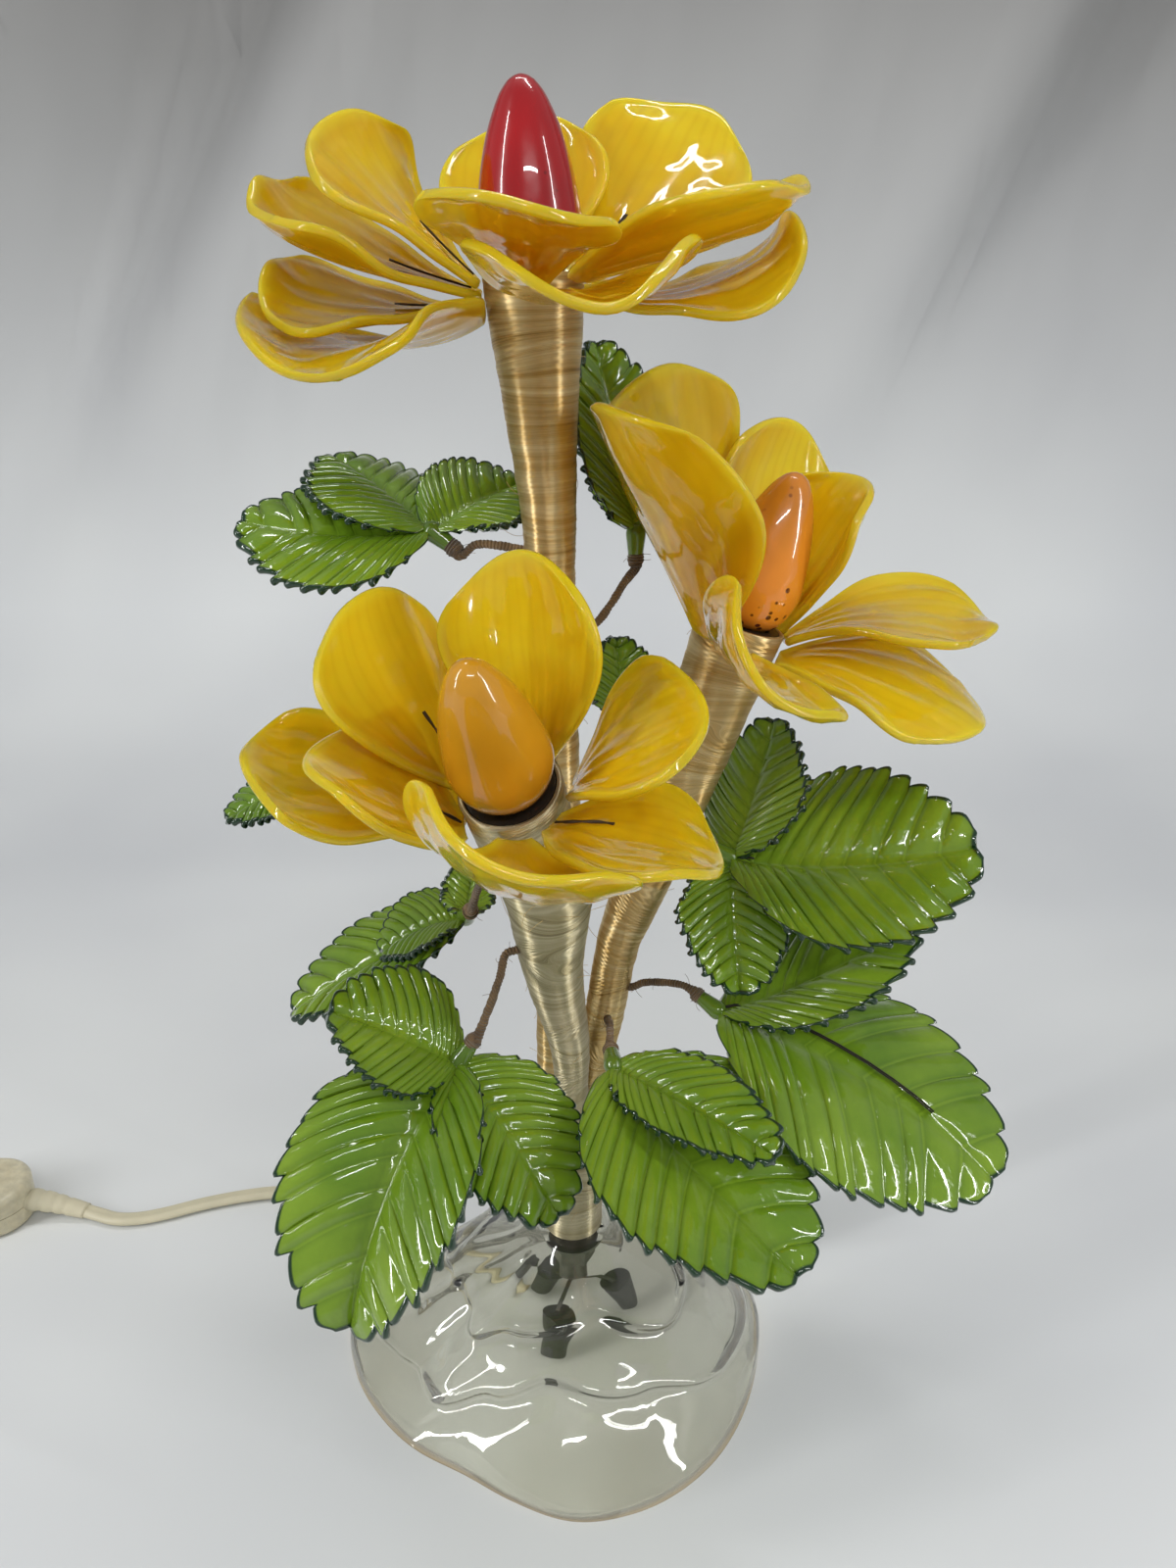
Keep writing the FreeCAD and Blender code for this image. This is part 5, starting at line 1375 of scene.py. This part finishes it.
class LampStems(bpy.types.Operator):
    """Trunk and three stems wound with floss, and their loose fibres"""

    bl_idname = "lamp.stems"
    bl_label = "Stems"

    def execute(self, context):
        colours = context.scene.lamp.colours
        gold = rayon_floss("Rayon floss, gold", colours.floss, colours.floss_light, colours.floss_dark)
        straw = rayon_floss("Rayon floss, straw", colours.straw, colours.straw_light, colours.straw_dark)
        flosses = {"top": gold, "right": gold, "front": straw}
        fuzz = Shape("turns")
        for number, (name, head) in enumerate(HEADS.items()):
            line = through(stem_stations(name), 60)
            loops, turns = wound(line, FLOSS_PITCH, FLOSS_GROOVE, number * 3.1, LEANS[name])
            centre = Vector(line[-1][:3])
            outward = [(spot - centre).normalized() for spot in loops[-1]]
            for radius, depth in MOUTH:
                loops.append([centre + way * radius + head["z"] * depth for way in outward])
                turns += [turns[-1]] * len(outward)
            shape = Shape("turns")
            add_wound(shape, loops, turns)
            piece = shape.piece("stem_floss_" + name, flosses[name])
            settle(piece, "lamp", "gold_thread", "stem_wrap_" + name)
            stray_fibres(fuzz, line, 34, number + 5)
        line = through([(0, 0, TRUNK_FOOT, 11), (0, 0, 79, 11.3), (0, 0, TRUNK_TOP, 12.4)], 60)
        shape = Shape("turns")
        add_wound(shape, *wound(line, FLOSS_PITCH, FLOSS_GROOVE, 12.0, 8.0))
        settle(shape.piece("trunk_floss", straw), "lamp", "gold_thread", "trunk_wrap")
        stray_fibres(fuzz, line, 12, 21)
        settle(fuzz.piece("floss_fibres", gold), "lamp", "gold_thread")
        return {"FINISHED"}


# outline of a bulb's glass as (height, radius)
BULB_OUTLINE = [
    (0.0, 8.15), (1.9, 10.5), (5.8, 12.85), (12.5, 14.25), (21.6, 13.2),
    (28.8, 11.7), (36.0, 9.5), (43.0, 6.3), (46.4, 3.7),
]


class LampBulbs(bpy.types.Operator):
    """Painted bulbs, their caps and the black sockets"""

    bl_idname = "lamp.bulbs"
    bl_label = "Bulbs"

    def execute(self, context):
        colours = context.scene.lamp.colours
        paints = {
            "top": painted_glass("Lacquered glass, red", colours.red, "70060C", 0.10),
            "right": painted_glass("Lacquered glass, orange", colours.orange, "5A2408", 0.20),
            "front": painted_glass("Lacquered glass, amber", colours.amber_bulb),
        }
        slots = {"top": "red_bulb", "right": "orange_bulb", "front": "amber_bulb"}
        outline = [(0.05, 0.5), (0.05, 7.6), *through(BULB_OUTLINE, 8), (47.4, 2.2), (47.9, 0.8)]
        for name, head in HEADS.items():
            spots, faces = rings([
                [in_head(head, polar(radius, 5 * n, height)) for n in range(72)]
                for height, radius in outline
            ])
            bulb = mesh_piece("bulb_painted_" + name, spots, faces, paints[name])
            settle(bulb, "bulb_" + name, slots[name], "bulb_glass_" + name)
        phenolic = plain_finish("Phenolic, black", "1A1918", 0.35, wear="34302A")
        repaint(phenolic, *("socket_" + name for name in HEADS))
        brass = plain_finish("Nickel-plated brass", "B8A878", 0.3, 1.0, wear="7A6A48")
        repaint(brass, *("bulb_cap_" + name for name in HEADS))
        return {"FINISHED"}


# petals whose tie wires show
TIED_PETALS = [
    "top_1", "top_2", "top_5", "top_10", "right_3",
    "front_1", "front_2", "front_4", "front_6", "front_7",
]


def near_rim(reaches, low, high):
    """Shares that fall from one at the rim to nothing inside it."""
    return [[1 - smooth(low, high, reach) for reach in line] for line in reaches]


def add_sheet(shape, middle, facing, swell, sizes, bead, **marks):
    """Adds a bent sheet that thickens where it swells; each mark has one value per grid point."""
    spread = sizes.rim_thickness - sizes.thickness
    half = [[500 * (sizes.thickness + spread * share) for share in line] for line in swell]
    spots, faces, border = closed_sheet(middle, facing, half, bead)
    shape.add_part(spots, faces, **{name: spread_marks(grid, border) for name, grid in marks.items()})


class LampPetals(bpy.types.Operator):
    """Petals of the three blossoms and the wires that tie them"""

    bl_idname = "lamp.petals"
    bl_label = "Petals"

    def execute(self, context):
        settings = context.scene.lamp
        sizes = settings.petals
        acrylic = yellow_cast_acrylic(settings.colours)
        for name, row in PETALS.items():
            grid, facing = petal_grid(name, row, sizes)
            reaches = column(grid, 3)
            shape = Shape("along", "across", "rim")
            swell = near_rim(reaches, 0.2, sizes.rim_width * 1000)
            add_sheet(
                shape, column(grid, 2), facing, swell, sizes, sizes.bead * 1000,
                along=column(grid, 0), across=column(grid, 1), rim=near_rim(reaches, 0, 4.5),
            )
            settle(shape.piece("petal_cast_" + name, acrylic), "lamp", "yellow_acrylic", "petal_" + name)
        ties = Shape()
        for number, name in enumerate(TIED_PETALS):
            line = petal_line(name, PETALS[name])
            for side in (-0.4, 0.4):
                strand = []
                for k in range(10):
                    u = 0.04 + 0.04 * k
                    _, along, inner = along_midline(line, u)
                    aside = side * math.cos(0.9 * k + number) + 0.5 * math.sin(0.5 * k + number)
                    spot = petal_point(line, PETALS[name], u, 0) + inner * (1.75 + 0.08 * k)
                    strand.append((*(spot + along.cross(inner) * aside), THIN_WIRE))
                ties.add_part(*tube(strand, 6))
        wire = plain_finish("Iron wire, lacquered", "3A2C1C", 0.4, 0.6)
        settle(ties.piece("tie_wire_pairs", wire), "lamp", "dark_wire", "tie_wires")
        return {"FINISHED"}


# wires left over a leaflet: leaf, leaflet, how far out they reach, and where across it
VEIN_WIRES = [("h", 0, 0.86, -0.16), ("g", 0, 0.3, 0.04)]
# a leaf's stalk, and the start of its wire, as (way out from the hub, radius)
STALK = [(-2.2, 1.6), (0, 3.2), (4, 2.9), (9, 2.2)]
WIRE_START = [(7, 2.5), (9.5, 2.7), (12, 1.6)]
WIRE_RADIUS = 1.35
THIN_WIRE = 0.3


class LampLeaves(bpy.types.Operator):
    """Pleated green leaves with their stalks, and the thread-served wires"""

    bl_idname = "lamp.leaves"
    bl_label = "Leaves"

    def execute(self, context):
        settings = context.scene.lamp
        sizes = settings.leaves
        acrylic = green_moulded_acrylic(settings.colours)
        thread = cotton_thread(settings.colours)
        wires = Shape("turns")
        fuzz = Shape("turns")
        for number, (name, leaf) in enumerate(LEAVES.items()):
            hub = Vector(leaf["hub"])
            toward = (Vector(leaf["way"][0]) - hub).normalized()
            shape = Shape("rim", "pleat")
            for row in leaf["leaflets"]:
                grid = leaflet_grid(hub, row, sizes)
                middle = column(grid, 0)
                edge = near_rim(column(grid, 1), 0, 1.6)
                add_sheet(
                    shape, middle, grid_normals(middle), edge, sizes, 0.7, rim=edge, pleat=column(grid, 2)
                )
            stalk = [(*(hub + toward * out), girth) for out, girth in STALK]
            spots, faces = tube(through(stalk, 5), 20)
            # the stalk takes part of the painted margin shade
            shape.add_part(spots, faces, rim=[0.6] * len(spots), pleat=[1.0] * len(spots))
            settle(shape.piece("leaf_pleated_" + name, acrylic), "lamp", "green_acrylic", "leaf_" + name)

            stem_name, entry = leaf["stem"]
            centre, radius = stem_centre(stem_name, entry)
            outward = Vector(leaf["way"][-1]) - centre
            outward = Vector((outward.x, outward.y, 0)).normalized()
            stations = [(*(hub + toward * out), girth) for out, girth in WIRE_START]
            stations += [(*spot, WIRE_RADIUS) for spot in leaf["way"][1:]]
            stations += [(*(centre + outward * (radius + out)), WIRE_RADIUS) for out in (1, -3)]
            line = through(stations, 24)
            add_wound(wires, *wound(line, 1.0, 0.12, number * 2.3, 2.0, 18))
            stray_fibres(fuzz, line, 9, 40 + number, 5.0)
        settle(wires.piece("leaf_wire_thread", thread), "lamp", "brown_thread", "leaf_wires")
        veins = Shape()
        for name, number, reach, across in VEIN_WIRES:
            leaf = LEAVES[name]
            middle = column(leaflet_grid(Vector(leaf["hub"]), leaf["leaflets"][number], sizes), 0)
            facing = grid_normals(middle)
            j = round((len(middle[0]) - 1) / 2 * (1 + 2 / math.pi * math.asin(across)))
            for side in (-0.35, 0.35):
                strand = []
                for k in range(15):
                    i = int(reach * (len(middle) - 1) * k / 14)
                    aside = (middle[i][j + 1] - middle[i][j]).normalized() * side
                    strand.append((*(middle[i][j] + facing[i][j] * 2.1 + aside), THIN_WIRE))
                veins.add_part(*tube(strand, 6))
        iron = plain_finish("Iron wire, bare", "2E2A20", 0.45, 0.5)
        settle(veins.piece("leaf_vein_wires", iron), "lamp", "dark_wire")
        settle(fuzz.piece("leaf_wire_fibres", thread), "lamp", "brown_thread")
        return {"FINISHED"}


class LampFittings(bpy.types.Operator):
    """Plug, its blades, and the in-line switch"""

    bl_idname = "lamp.fittings"
    bl_label = "Plug and switch"

    def execute(self, context):
        cream = context.scene.lamp.colours.cream
        plastic = plain_finish("ABS, cream", cream, 0.3, wear="B8A67C")
        repaint(plastic, "switch_bottom", "switch_top", "switch_wheel")
        repaint(plain_finish("PVC, plug cream", cream, 0.5, wear="BFAF88"), "plug_body")
        repaint(plain_finish("Brass, plain", "C2A562", 0.28, 1.0), "plug_blades")
        return {"FINISHED"}


class LampPanel(bpy.types.Panel):
    """Lists the lamp's pieces in the sidebar"""

    bl_idname = "VIEW3D_PT_lamp"
    bl_label = "Flower lamp"
    bl_space_type = "VIEW_3D"
    bl_region_type = "UI"
    bl_category = "Lamp"

    def draw(self, context):
        settings = context.scene.lamp
        for operator in OPERATORS:
            self.layout.operator(operator.bl_idname)
        for group in (settings.petals, settings.leaves, settings.cord, settings.colours):
            box = self.layout.box()
            for setting in group.bl_rna.properties:
                if setting.identifier not in {"rna_type", "name"}:
                    box.prop(group, setting.identifier)


GROUPS = (LampPetalSizes, LampLeafSizes, LampCordSizes, LampColours, LampSettings)
OPERATORS = (
    LampStage, LampCord, LampBase, LampStems, LampBulbs, LampPetals, LampLeaves, LampFittings,
)


def register():
    for item in (*GROUPS, *OPERATORS, LampPanel):
        bpy.utils.register_class(item)
    bpy.types.Scene.lamp = bpy.props.PointerProperty(type=LampSettings)


def unregister():
    del bpy.types.Scene.lamp
    for item in reversed((*GROUPS, *OPERATORS, LampPanel)):
        bpy.utils.unregister_class(item)


def main():
    register()
    for operator in OPERATORS:
        getattr(bpy.ops.lamp, operator.bl_idname.split(".")[1])()


if __name__ == "__main__":
    main()
